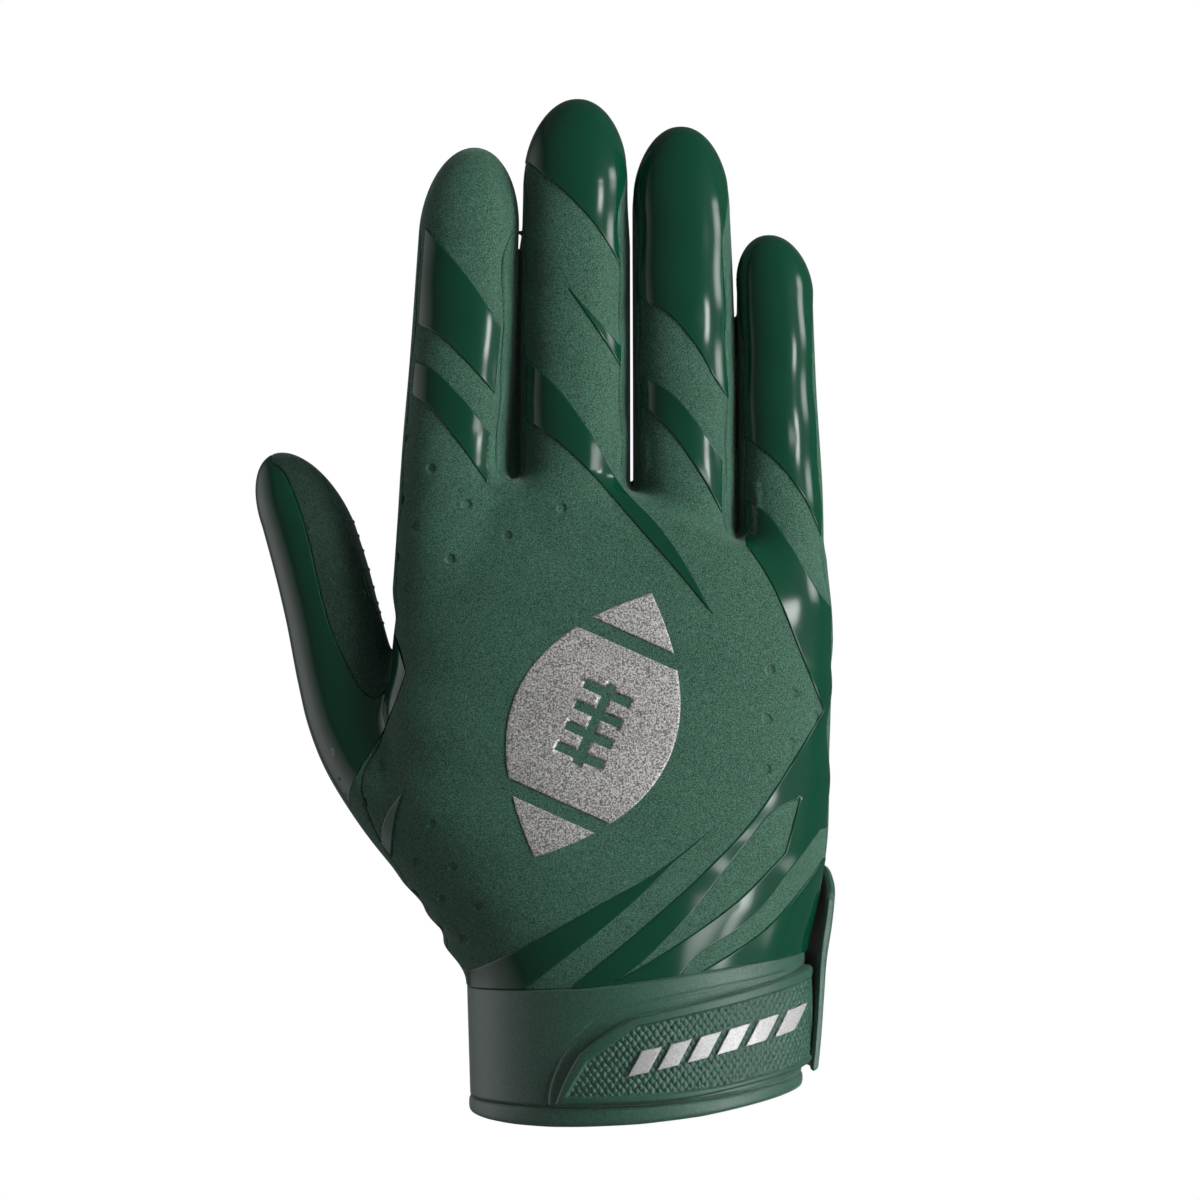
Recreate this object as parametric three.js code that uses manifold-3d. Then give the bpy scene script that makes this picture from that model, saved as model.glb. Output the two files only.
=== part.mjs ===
// A right-hand football glove with its fingers up, in millimetres, +Z up.
// The back of the hand faces -Y, the palm faces +Y and the thumb points to -X.
// The origin is the centre of the cuff's open bottom, where a wrist goes in.
import * as THREE from 'three';
import { mergeVertices } from 'three/addons/utils/BufferGeometryUtils.js';
import Module from 'manifold-3d';

const wasm = await Module();
wasm.setup();

// Cloth and gaps
const WALL = 1.3;
const GAP = 0.3;
const FACING = 0.5;
const SEAM_Y = 4;
const THUMB_SEAM_Y = 12;
const ROOM = 80;
const FAR = 110;
const HIGH = 260;
const WELD = 1e-4;

// Points round each kind of section, and steps over a fingertip
const HAND_SIDES = 28;
const DIGIT_SIDES = 16;
const CUFF_SIDES = 28;
const TIP_STEPS = 3;
const DIGIT_POWER = 2.2;

// Sections of the hand: its edges, its depth on the back and on the palm side,
// and how square its corners are
const HAND_ROWS = [
  { z: 20, left: -38.4, right: 38.5, back: 26.8, palm: 26.8, power: 2.0 },
  { z: 32, left: -38.9, right: 38.7, back: 26.5, palm: 26.6, power: 2.05 },
  { z: 39, left: -41.6, right: 39.5, back: 25.6, palm: 26.0, power: 2.1 },
  { z: 48, left: -46.0, right: 41.6, back: 24.0, palm: 25.0, power: 2.2 },
  { z: 62, left: -54.5, right: 43.8, back: 21.6, palm: 23.2, power: 2.3 },
  { z: 80, left: -57.4, right: 44.2, back: 19.4, palm: 20.4, power: 2.4 },
  { z: 98, left: -56.4, right: 44.7, back: 18.0, palm: 17.6, power: 2.5 },
  { z: 117, left: -54.9, right: 44.6, back: 16.4, palm: 15.2, power: 2.5 },
  { z: 132, left: -54.2, right: 43.5, back: 13.0, palm: 12.4, power: 2.4 },
  { z: 148, left: -53.6, right: 42.4, back: 8.6, palm: 8.6, power: 2.3 },
];

// Sections of each finger and the thumb: centre, half width and half depth
const DIGITS = {
  index: {
    rows: [
      { z: 120, x: -42.4, half: 11.6, y: 0, depth: 10.4 },
      { z: 146, x: -41.3, half: 12.1, y: 0, depth: 10.6 },
      { z: 172, x: -39.4, half: 11.9, y: 0, depth: 10.4 },
      { z: 200, x: -37.9, half: 11.4, y: 0, depth: 9.6 },
    ],
    tip: { z: 219.8, x: -36.6, y: 0 },
  },
  middle: {
    rows: [
      { z: 120, x: -13.5, half: 12.0, y: 0, depth: 10.8 },
      { z: 146, x: -13.7, half: 12.3, y: 0, depth: 10.9 },
      { z: 190, x: -13.8, half: 12.1, y: 0, depth: 10.5 },
      { z: 210.7, x: -13.6, half: 11.9, y: 0, depth: 9.9 },
    ],
    tip: { z: 230.7, x: -13.1, y: 0 },
  },
  ring: {
    rows: [
      { z: 120, x: 11.4, half: 11.0, y: 0, depth: 10.2 },
      { z: 146, x: 11.4, half: 11.4, y: 0, depth: 10.4 },
      { z: 190, x: 10.9, half: 11.4, y: 0, depth: 10.0 },
      { z: 205, x: 10.5, half: 11.1, y: 0, depth: 9.4 },
    ],
    tip: { z: 224.4, x: 10.4, y: 0 },
  },
  little: {
    rows: [
      { z: 108, x: 33.6, half: 9.3, y: 0, depth: 9.0 },
      { z: 140, x: 33.2, half: 9.6, y: 0, depth: 9.0 },
      { z: 165, x: 32.4, half: 8.9, y: 0, depth: 8.5 },
      { z: 187, x: 31.8, half: 8.6, y: 0, depth: 8.0 },
    ],
    tip: { z: 199.7, x: 30.4, y: 0 },
  },
  thumb: {
    rows: [
      { z: 42, x: -30.4, half: 14.0, y: 4, depth: 15.0 },
      { z: 54, x: -39.2, half: 14.0, y: 6, depth: 15.0 },
      { z: 66, x: -49.2, half: 13.6, y: 8, depth: 14.2 },
      { z: 78, x: -57.6, half: 12.9, y: 9.5, depth: 12.8 },
      { z: 88, x: -62.6, half: 11.9, y: 10.5, depth: 11.6 },
      { z: 98, x: -65.9, half: 10.9, y: 11.5, depth: 10.8 },
      { z: 112, x: -68.7, half: 10.8, y: 12, depth: 10.4 },
      { z: 124, x: -71.5, half: 10.8, y: 12, depth: 10.2 },
      { z: 133, x: -74.2, half: 10.6, y: 12, depth: 9.8 },
    ],
    tip: { z: 150.3, x: -79.6, y: 12 },
  },
};

// The line over which the hand ends and the fingers stand free, little finger lowest
const WEB_LINE = [
  { x: -56, z: 145 },
  { x: -26.3, z: 143.6 },
  { x: -1, z: 141 },
  { x: 23, z: 130 },
  { x: 46, z: 127 },
];

// The cuff: edge heights at its middle, and how far they rise per millimetre to the right
const CUFF = {
  x: 0.1,
  topHalf: 38.5,
  lowHalf: 37.6,
  depth: 27,
  wall: 2.6,
  topZ: 33.1,
  topSlope: 0.097,
  hemTopZ: 7.3,
  hemZ: 2.5,
  hemSlope: 0.055,
};

// The closure strap on the cuff, its raised rim and the bars on its field
const STRAP = { thick: 1.4, rim: 0.6, backY: 12 };
const STRAP_OUTLINE = [
  [-18, 5.6], [-16.2, 10.6], [-12.8, 16.2], [-8, 20.4], [-0.7, 24.3], [7.4, 26.2],
  [21.7, 29.2], [30.5, 31.6], [38, 35], [46, 35.6], [46, 13.4], [38.2, 13.6],
  [30.5, 10.4], [15.8, 7], [-2, 5.8],
];
const FIELD_OUTLINE = [
  [-14.4, 7.6], [-10.6, 14.4], [-0.2, 21.4], [7.4, 23.8], [21.6, 26.6], [33.5, 30.4],
  [44, 33.2], [44, 16.8], [30.5, 12.8], [15.8, 9.4], [-1.9, 7.8],
];
const BARS = { count: 6, firstX: -1.8, pitch: 6.2, width: 4.3, low: 12.4, rise: 0.235, tall: 6.6, lean: 2.9, thick: 0.6 };

// The strap's flap on the little-finger side: a band that stands off the hand
const FLAP = { thick: 1.5, fromTurn: -15, toTurn: 42, steps: 7, x: 0.1 };
const FLAP_ROWS = [
  { z: 8.6, half: 41.6, depth: 30.2 },
  { z: 17, half: 42.3, depth: 31.0 },
  { z: 27, half: 43.0, depth: 31.4 },
  { z: 35, half: 43.6, depth: 31.2 },
  { z: 43, half: 44.8, depth: 29.8 },
  { z: 50, half: 45.5, depth: 28.0 },
  { z: 56, half: 45.6, depth: 26.4 },
];

// The gloss facings laid on the back, as outlines seen from the front
const FACINGS = {
  index_upper_facing: [
    [-47.4, 201.1], [-37.2, 188.6], [-30.4, 178.2], [-31.7, 163.1], [-39.1, 171.3],
    [-44.4, 176.5], [-49.0, 178.9],
  ],
  index_lower_facing: [
    [-49.6, 170.6], [-46.4, 169.3], [-40.4, 163.7], [-32.7, 154.2], [-33.1, 142.3],
    [-41.0, 153.6], [-47.0, 160.8], [-50.4, 163.0],
  ],
  middle_tip_facing: [
    [-30, 236], [4, 236], [4, 182], [-3.1, 191.7], [-8.1, 199.7], [-13.4, 206.0],
    [-18.7, 210.9], [-23.2, 214.7], [-30, 219],
  ],
  middle_slash_facing: [[-15.5, 187.4], [-3.2, 173.8], [-3.4, 169.5]],
  middle_long_facing: [
    [-24.6, 171.5], [-18.6, 165.7], [-10.7, 155.2], [-2.8, 141.8], [4.8, 133.7],
    [17.5, 112.9], [8.6, 123.8], [1.0, 132.5], [-6.8, 141.6], [-13.3, 148.5],
    [-20.0, 154.3], [-24.7, 157.2],
  ],
  ring_tip_facing: [
    [-2, 230], [26, 230], [26, 158], [19.9, 163.5], [13.0, 174.6], [6.4, 181.9], [1.3, 184.9],
    [-2, 187],
  ],
  ring_middle_facing: [
    [1.8, 167.2], [6.4, 164.7], [13.0, 157.8], [19.5, 147.9], [19.5, 136.1], [13.0, 147.3],
    [6.4, 156.2], [1.6, 160.6],
  ],
  little_tip_facing: [
    [22, 205], [46, 205], [46, 124], [42.5, 130.2], [37.6, 140.1], [31.5, 148.0], [24.5, 154.0],
    [22, 156],
  ],
  outer_facing: [
    [24.9, 139.5], [29.2, 136.8], [34.7, 129.3], [43.0, 116.4], [50, 110], [50, 66],
    [41.5, 64.9], [33.7, 55.5], [25.6, 46.0], [11.7, 36.8], [6, 28], [0.6, 28],
    [1.0, 36.0], [10.3, 41.7], [22.7, 50.3], [33.3, 60.4], [36.7, 72.2], [30.2, 69.1],
    [25.0, 63.2], [7.3, 42.5], [-8, 28], [-18, 28], [-10.2, 34.9], [1.0, 44.2],
    [13.4, 55.0], [24.8, 66.4], [37.8, 84.8], [42.3, 91.8], [37.9, 102.4], [27.6, 125.0],
    [24.9, 128.8],
  ],
  cuff_side_facing: [
    [50, 60], [42.3, 58.3], [38.2, 53.3], [29.0, 43.9], [16.7, 36.2], [10, 31], [50, 31],
  ],
  heel_facing: [
    [-46, 28], [-46, 36], [-37.8, 33.2], [-23.4, 40.8], [-8.0, 49.6], [3.8, 56.1],
    [13.3, 63.1], [24.5, 72.9], [16.3, 65.5], [3.7, 53.9], [-7.9, 44.0], [-16.3, 37.3],
    [-28, 28],
  ],
  thumb_slash_facing: [[-51.6, 74.4], [-57.2, 65.0], [-57.4, 61.4], [-55.0, 58.4], [-53.0, 70.6]],
};

// The line on the back where the thumb's shell meets the hand's, and the gusset on the thumb
const THUMB_LINE = [
  [-53.6, 109], [-52.0, 101.6], [-52.1, 98], [-55.3, 90.4], [-60.8, 81.8], [-64.5, 75.0],
  [-64.8, 72.0], [-64.4, 68.5],
];
const THUMB_LINE_TURN_Z = 100;
const CROTCH = { x: -57.4, z: 112, openZ: 160 };
const GUSSET_OUTLINE = [
  [-82.6, 147.5], [-79.2, 152], [-75.5, 148.6], [-70.4, 140.2], [-64.8, 132], [-62.8, 122],
  [-60.2, 113], [-56.4, 106], [-59.6, 95.6], [-63.3, 97], [-67.2, 107], [-70.5, 119],
  [-73, 130], [-76, 139.6], [-79.2, 145.3],
];

// The football on the back: two arcs, banded near both points and slotted for laces
const BALL = { x: -9.5, z: 89, length: 64, width: 37, lean: -24, arcSteps: 8, thick: 0.5 };
const BALL_BAND = { from: 18.5, width: 3.2 };
const BALL_LACES = { count: 4, pitch: 5, long: 11, wide: 1.9, spine: 19 };

const LOOK = {
  matte: { color: 0x305c48, roughness: 0.75, metalness: 0 },
  gloss: { color: 0x0b4530, roughness: 0.15, metalness: 0 },
  grip: { color: 0x1c4a38, roughness: 0.45, metalness: 0 },
  cuff: { color: 0x2a5944, roughness: 0.65, metalness: 0 },
  rubber: { color: 0x24523d, roughness: 0.5, metalness: 0 },
  silver: { color: 0x9b9895, roughness: 0.4, metalness: 0.7 },
};

// Builds a closed geometry from its points and triangles
function geometryFrom(points, triangles) {
  const geometry = new THREE.BufferGeometry();
  geometry.setAttribute('position', new THREE.Float32BufferAttribute(points.flat(), 3));
  geometry.setIndex(triangles.flat());
  return geometry;
}

// Adds the triangles between two rings of points that start at `a` and `b`
function bridge(triangles, a, b, sides) {
  for (let i = 0; i < sides; i += 1) {
    const j = (i + 1) % sides;
    triangles.push([a + i, a + j, b + j], [a + i, b + j, b + i]);
  }
}

// Lofts a stack of rings and closes each end on its own centre point
function loftRings(rings, lowPoint, highPoint) {
  const sides = rings[0].length;
  const points = [...rings.flat(), lowPoint, highPoint];
  const triangles = [];
  for (let k = 0; k + 1 < rings.length; k += 1) {
    bridge(triangles, k * sides, (k + 1) * sides, sides);
  }
  const low = rings.length * sides;
  const last = low - sides;
  for (let i = 0; i < sides; i += 1) {
    const j = (i + 1) % sides;
    triangles.push([low, j, i], [low + 1, last + i, last + j]);
  }
  return geometryFrom(points, triangles);
}

// Joins a loop of rings, up outside and down inside, into a tube with a wall
function tubeOfRings(rings) {
  const sides = rings[0].length;
  const triangles = [];
  rings.forEach((ring, k) => {
    bridge(triangles, k * sides, ((k + 1) % rings.length) * sides, sides);
  });
  return geometryFrom(rings.flat(), triangles);
}

// A rounded section at one height, `sides` points round
function sectionRing({ x, y, z, half, back, palm, power, slope = 0 }, sides) {
  const ring = [];
  for (let i = 0; i < sides; i += 1) {
    const turn = (2 * Math.PI * i) / sides;
    const across = Math.sign(Math.cos(turn)) * Math.abs(Math.cos(turn)) ** (2 / power);
    const deep = Math.sign(Math.sin(turn)) * Math.abs(Math.sin(turn)) ** (2 / power);
    const px = x + half * across;
    ring.push([px, y + (deep < 0 ? back : palm) * deep, z + slope * px]);
  }
  return ring;
}

// Turns a closed geometry into a solid that can be joined and cut
function solid(geometry) {
  const bare = geometry.clone();
  bare.deleteAttribute('normal');
  bare.deleteAttribute('uv');
  const merged = mergeVertices(bare, WELD);
  return new wasm.Manifold(new wasm.Mesh({
    numProp: 3,
    vertProperties: new Float32Array(merged.attributes.position.array),
    triVerts: new Uint32Array(merged.index.array),
  }));
}

// Keeps the largest body of a solid, without the crumbs that a cut leaves
function largest(body) {
  const bodies = body.decompose();
  return bodies.reduce((best, next) => (next.volume() > best.volume() ? next : best));
}

// A block with the given outline in X and Z, from one Y to another
function prism(outline, fromY = -ROOM, toY = ROOM) {
  const shape = new THREE.Shape(outline.map(([x, z]) => new THREE.Vector2(x, z)));
  const block = new THREE.ExtrudeGeometry(shape, { depth: toY - fromY, bevelEnabled: false });
  return solid(block.rotateX(Math.PI / 2).translate(0, toY, 0));
}

// The palm and back of the hand without fingers, `grow` larger all round
function handSolid(grow) {
  const rings = HAND_ROWS.map(({ z, left, right, back, palm, power }) => sectionRing({
    x: (left + right) / 2,
    y: 0,
    z,
    half: (right - left) / 2 + grow,
    back: back + grow,
    palm: palm + grow,
    power,
  }, HAND_SIDES));
  const first = HAND_ROWS[0];
  const last = HAND_ROWS[HAND_ROWS.length - 1];
  const block = solid(loftRings(rings, [0, 0, first.z], [0, 0, last.z]));
  const under = WEB_LINE.map(({ x, z }) => [x + Math.sign(x) * grow, z + grow]);
  return block.intersect(prism([[-ROOM, 0], [-ROOM, under[0][1]], ...under, [ROOM, under[4][1]], [ROOM, 0]]));
}

// One finger or the thumb, with a rounded tip, `grow` larger all round
function digitSolid({ rows, tip }, grow) {
  const base = rows[rows.length - 1];
  const tipLength = tip.z - base.z;
  const sections = rows.map((row) => ({ ...row }));
  for (let step = 1; step < TIP_STEPS + 1; step += 1) {
    const turn = (step / (TIP_STEPS + 0.6)) * (Math.PI / 2);
    const along = Math.sin(turn);
    sections.push({
      z: base.z + tipLength * along,
      x: THREE.MathUtils.lerp(base.x, tip.x, along),
      y: THREE.MathUtils.lerp(base.y, tip.y, along),
      half: base.half * Math.cos(turn),
      depth: base.depth * Math.cos(turn),
      stretch: (tipLength + grow) / tipLength,
    });
  }
  const rings = sections.map(({ z, x, y, half, depth, stretch = 1 }) => {
    const size = stretch === 1 ? 1 : half / base.half;
    return sectionRing({
      x,
      y,
      z: base.z + (z - base.z) * stretch,
      half: half + grow * size,
      back: depth + grow * size,
      palm: depth + grow * size,
      power: DIGIT_POWER,
    }, DIGIT_SIDES);
  });
  const foot = rows[0];
  return solid(loftRings(rings, [foot.x, foot.y, foot.z], [tip.x, tip.y, tip.z + grow]));
}

// The whole glove above the cuff as a filled form, `grow` larger all round
function gloveSolid(grow) {
  return Object.values(DIGITS).reduce((whole, digit) => whole.add(digitSolid(digit, grow)), handSolid(grow));
}

// Points on the cuff's top edge, for cuts that follow it
function cuffTop(x, lift) {
  return [x, CUFF.topZ + CUFF.topSlope * x + lift];
}

// A ring round the cuff, `grow` larger than its outside, at an edge height and slope
function cuffRing(z, slope, grow) {
  const share = THREE.MathUtils.clamp((z - CUFF.hemZ) / (CUFF.topZ - CUFF.hemZ), 0, 1);
  const half = THREE.MathUtils.lerp(CUFF.lowHalf, CUFF.topHalf, share) + grow;
  const depth = CUFF.depth + grow;
  return sectionRing({ x: CUFF.x, y: 0, z, half, back: depth, palm: depth, power: 2, slope }, CUFF_SIDES);
}

// A layer round the cuff, between two distances outside it
function cuffLayer(inner, outer) {
  return solid(tubeOfRings([
    cuffRing(CUFF.hemZ, 0, outer),
    cuffRing(CUFF.topZ + 6, 0, outer),
    cuffRing(CUFF.topZ + 6, 0, inner),
    cuffRing(CUFF.hemZ, 0, inner),
  ]));
}

function cuffGeometry() {
  const lowZ = CUFF.hemTopZ + GAP;
  return tubeOfRings([
    cuffRing(lowZ, CUFF.hemSlope, 0),
    cuffRing(CUFF.topZ - 0.8, CUFF.topSlope, 0),
    cuffRing(CUFF.topZ, CUFF.topSlope, -0.8),
    cuffRing(CUFF.topZ, CUFF.topSlope, -CUFF.wall),
    cuffRing(lowZ, CUFF.hemSlope, -CUFF.wall),
  ]);
}

function hemGeometry() {
  return tubeOfRings([
    cuffRing(CUFF.hemZ, CUFF.hemSlope, -0.9),
    cuffRing(CUFF.hemZ + 1, CUFF.hemSlope, 0.2),
    cuffRing(CUFF.hemTopZ - 0.8, CUFF.hemSlope, 0.2),
    cuffRing(CUFF.hemTopZ, CUFF.hemSlope, -0.5),
    cuffRing(CUFF.hemTopZ, CUFF.hemSlope, -CUFF.wall + 0.4),
    cuffRing(CUFF.hemTopZ - 1, CUFF.hemSlope, -CUFF.wall - 0.2),
    cuffRing(CUFF.hemZ + 1, CUFF.hemSlope, -CUFF.wall - 0.2),
    cuffRing(CUFF.hemZ, CUFF.hemSlope, -CUFF.wall + 0.7),
  ]);
}

// The moulded strap end with a raised rim round a lower field
function strapSolid() {
  const plate = cuffLayer(GAP, GAP + STRAP.thick).intersect(prism(STRAP_OUTLINE, -ROOM, STRAP.backY));
  const frame = prism(STRAP_OUTLINE.filter(([x]) => x < 40), -ROOM, 0).subtract(prism(FIELD_OUTLINE, -ROOM, 0));
  const rim = cuffLayer(GAP + STRAP.thick / 2, GAP + STRAP.thick + STRAP.rim).intersect(frame);
  return largest(plate.add(rim));
}

// One slanted bar on the strap's field
function barSolid(index) {
  const x = BARS.firstX + index * BARS.pitch;
  const low = BARS.low + BARS.rise * (x - BARS.firstX);
  const outline = [
    [x, low],
    [x + BARS.width, low + BARS.rise * BARS.width],
    [x + BARS.width + BARS.lean, low + BARS.tall],
    [x + BARS.lean, low + BARS.tall - BARS.rise * BARS.width],
  ];
  const onPlate = GAP + STRAP.thick + GAP;
  return largest(cuffLayer(onPlate, onPlate + BARS.thick).intersect(prism(outline, -ROOM, 0)));
}

// The flap as a loft of arcs, cut clear of the hand
function flapSolid(hand) {
  const rings = FLAP_ROWS.map(({ z, half, depth }) => {
    const arc = (inset) => Array.from({ length: FLAP.steps + 1 }, (unused, i) => {
      const turn = THREE.MathUtils.degToRad(
        THREE.MathUtils.lerp(FLAP.fromTurn, FLAP.toTurn, i / FLAP.steps),
      );
      return [FLAP.x + (half - inset) * Math.cos(turn), (depth - inset) * Math.sin(turn), z];
    });
    return [...arc(0), ...arc(FLAP.thick).reverse()];
  });
  const sides = rings[0].length;
  const triangles = [];
  for (let k = 0; k + 1 < rings.length; k += 1) {
    bridge(triangles, k * sides, (k + 1) * sides, sides);
  }
  const top = (rings.length - 1) * sides;
  for (let i = 0; i < FLAP.steps; i += 1) {
    const far = sides - 1 - i;
    triangles.push([i, far, i + 1], [i + 1, far, far - 1]);
    triangles.push([top + i, top + i + 1, top + far], [top + i + 1, top + far - 1, top + far]);
  }
  return largest(solid(geometryFrom(rings.flat(), triangles)).subtract(hand));
}

// The outline of the football before it leans, from one height along it to another
function ballOutline(low, high) {
  const reach = BALL.length / 2;
  const side = (sign) => Array.from({ length: BALL.arcSteps + 1 }, (unused, i) => {
    const along = THREE.MathUtils.lerp(low, high, i / BALL.arcSteps);
    return [sign * (BALL.width / 2) * (1 - (along / reach) ** 2), along];
  });
  const meetsAtPoint = high === reach;
  return [...side(1), ...side(-1).reverse().slice(meetsAtPoint ? 1 : 0)];
}

// Leans and places an outline that is drawn about the football's centre
function placed(outline) {
  const lean = THREE.MathUtils.degToRad(BALL.lean);
  return outline.map(([x, z]) => [
    BALL.x + x * Math.cos(lean) - z * Math.sin(lean),
    BALL.z + x * Math.sin(lean) + z * Math.cos(lean),
  ]);
}

// Moves every edge of a closed outline out by the same distance
function widened(outline, by) {
  const side = Math.sign(THREE.ShapeUtils.area(outline.map(([x, z]) => new THREE.Vector2(x, z))));
  return outline.map(([x, z], i) => {
    const [beforeX, beforeZ] = outline.at(i - 1);
    const [afterX, afterZ] = outline[(i + 1) % outline.length];
    const first = new THREE.Vector2(z - beforeZ, beforeX - x).normalize();
    const second = new THREE.Vector2(afterZ - z, x - afterX).normalize();
    const middle = first.clone().add(second).normalize();
    const reach = (side * by) / Math.max(middle.dot(first), 0.5);
    return [x + middle.x * reach, z + middle.y * reach];
  });
}

function rectangle(x, z, wide, tall) {
  return [[x - wide / 2, z - tall / 2], [x + wide / 2, z - tall / 2], [x + wide / 2, z + tall / 2],
    [x - wide / 2, z + tall / 2]];
}

const model = new THREE.Group();

function addMesh(name, body, look) {
  let geometry = body;
  if (!body.isBufferGeometry) {
    const mesh = body.getMesh();
    geometry = new THREE.BufferGeometry();
    geometry.setAttribute('position', new THREE.Float32BufferAttribute(mesh.vertProperties, 3));
    geometry.setIndex(Array.from(mesh.triVerts));
  }
  const flat = geometry.toNonIndexed();
  flat.computeVertexNormals();
  const mesh = new THREE.Mesh(flat, new THREE.MeshStandardMaterial(LOOK[look]));
  mesh.name = name;
  model.add(mesh);
}

// The hollow shell above the cuff
const aboveCuff = (lift) => prism([cuffTop(-FAR, lift), cuffTop(FAR, lift), [FAR, HIGH], [-FAR, HIGH]]);
const shell = gloveSolid(0).subtract(gloveSolid(-WALL)).intersect(aboveCuff(GAP));

// The thumb's region is left of its line and above the wrist, `grow` larger all round
const thumbRegion = (grow) => prism([
  ...THUMB_LINE.map(([x, z]) => [x + grow, z > THUMB_LINE_TURN_Z ? z + grow : z - grow]),
  [-FAR, THUMB_LINE.at(-1)[1] - grow],
  [-FAR, CROTCH.openZ],
  [CROTCH.x + grow, CROTCH.openZ],
  [CROTCH.x + grow, CROTCH.z + grow],
]);
const thumbShell = shell.intersect(thumbRegion(0));
const handShell = shell.subtract(thumbRegion(GAP));

const ALL_ROUND = [[-FAR, 0], [FAR, 0], [FAR, HIGH], [-FAR, HIGH]];
const front = (limit) => prism(ALL_ROUND, -ROOM, limit);
const rear = (limit) => prism(ALL_ROUND, limit, ROOM);

addMesh('back_panel', largest(handShell.intersect(front(-SEAM_Y))), 'matte');
addMesh('palm_panel', largest(handShell.intersect(rear(SEAM_Y))), 'grip');

// The strips between back and palm, parted at the fingertips
const SIDE_NAMES = ['wrist_side_strip', 'index_side_strip', 'fourchette_index_middle',
  'fourchette_middle_ring', 'fourchette_ring_little', 'little_side_strip'];
const tipCuts = ['index', 'middle', 'ring', 'little'].map((name) => {
  const { x, z } = DIGITS[name].tip;
  return prism([[x - GAP / 2, z - 8], [x + GAP / 2, z - 8], [x + GAP / 2, z + 4], [x - GAP / 2, z + 4]]);
});
let band = handShell.intersect(rear(-SEAM_Y + GAP)).intersect(front(SEAM_Y - GAP));
tipCuts.forEach((cut) => {
  band = band.subtract(cut);
});
const middleX = (body) => {
  const { min, max } = body.boundingBox();
  return (min[0] + max[0]) / 2;
};
const strips = band.decompose().filter((body) => body.volume() > 20);
strips.sort((a, b) => middleX(a) - middleX(b));
const topOf = (body) => body.boundingBox().max[2];
const lowest = strips.reduce((low, body) => (topOf(body) < topOf(low) ? body : low));
const ordered = [lowest, ...strips.filter((body) => body !== lowest)];
ordered.forEach((body, i) => addMesh(SIDE_NAMES[i], body, 'matte'));

// The thumb: a gloss back, a matte gusset let into it and a grip side
const gussetCut = prism(GUSSET_OUTLINE, -ROOM, THUMB_SEAM_Y);
const thumbFront = thumbShell.intersect(front(THUMB_SEAM_Y));
addMesh('thumb_gusset', largest(thumbFront.intersect(gussetCut)), 'matte');
addMesh('thumb_back', largest(thumbFront.subtract(prism(widened(GUSSET_OUTLINE, GAP), -ROOM, THUMB_SEAM_Y + 1))), 'gloss');
addMesh('thumb_grip', largest(thumbShell.intersect(rear(THUMB_SEAM_Y + GAP))), 'grip');

// The gloss facings on the back
const facingLayer = gloveSolid(GAP + FACING).subtract(gloveSolid(GAP))
  .intersect(front(-SEAM_Y)).intersect(aboveCuff(2 * GAP));
Object.entries(FACINGS).forEach(([name, outline]) => {
  addMesh(name, largest(facingLayer.intersect(prism(outline, -ROOM, 0))), 'gloss');
});

// The football, in a middle and two end pieces
const ballLayer = gloveSolid(GAP + BALL.thick).subtract(gloveSolid(GAP)).intersect(front(-SEAM_Y));
const bandEnd = BALL_BAND.from + BALL_BAND.width;
let ballMiddle = prism(placed(ballOutline(-BALL_BAND.from, BALL_BAND.from)), -ROOM, 0)
  .subtract(prism(placed(rectangle(0, 0, BALL_LACES.wide, BALL_LACES.spine)), -ROOM, 0));
for (let i = 0; i < BALL_LACES.count; i += 1) {
  const z = (i - (BALL_LACES.count - 1) / 2) * BALL_LACES.pitch;
  ballMiddle = ballMiddle.subtract(
    prism(placed(rectangle(0, z, BALL_LACES.long, BALL_LACES.wide)), -ROOM, 0),
  );
}
addMesh('ball_middle', largest(ballLayer.intersect(ballMiddle)), 'silver');
const upperEnd = placed(ballOutline(bandEnd, BALL.length / 2));
const lowerEnd = placed(ballOutline(bandEnd, BALL.length / 2).map(([x, z]) => [-x, -z]));
addMesh('ball_upper_end', largest(ballLayer.intersect(prism(upperEnd, -ROOM, 0))), 'silver');
addMesh('ball_lower_end', largest(ballLayer.intersect(prism(lowerEnd, -ROOM, 0))), 'silver');

// The cuff, its hem, the closure strap with its bars, and the strap's flap
addMesh('cuff', cuffGeometry(), 'cuff');
addMesh('cuff_hem', hemGeometry(), 'cuff');
addMesh('closure_strap', strapSolid(), 'rubber');
for (let i = 0; i < BARS.count; i += 1) {
  addMesh(`strap_bar_${i + 1}`, barSolid(i), 'silver');
}
addMesh('strap_flap', flapSolid(gloveSolid(GAP)), 'cuff');

export default model;
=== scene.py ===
"""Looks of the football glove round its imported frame. Lengths are millimetres until a mesh is made."""
import math

import bpy
import numpy as np
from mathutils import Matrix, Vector
from mathutils.geometry import delaunay_2d_cdt


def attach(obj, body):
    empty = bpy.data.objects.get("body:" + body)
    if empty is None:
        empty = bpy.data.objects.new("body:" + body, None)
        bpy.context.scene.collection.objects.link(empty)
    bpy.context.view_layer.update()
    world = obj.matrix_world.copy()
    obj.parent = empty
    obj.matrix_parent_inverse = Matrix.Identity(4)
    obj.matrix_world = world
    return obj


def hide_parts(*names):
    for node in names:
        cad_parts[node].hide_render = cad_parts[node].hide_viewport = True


MM = 0.001
COARSE = 1.0

# Cloth, seams and facings, as in the frame
WALL = 1.3
SEAM_Y = 4.0
THUMB_SEAM_Y = 12.0
GAP = 0.3
SLIT, CUFF_SLIT, STRIP_SLIT, THUMB_SLIT = 0.1, 0.05, 0.02, 0.12
DIGIT_POWER = 2.2
NEAREST_Y = -45.0

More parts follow.
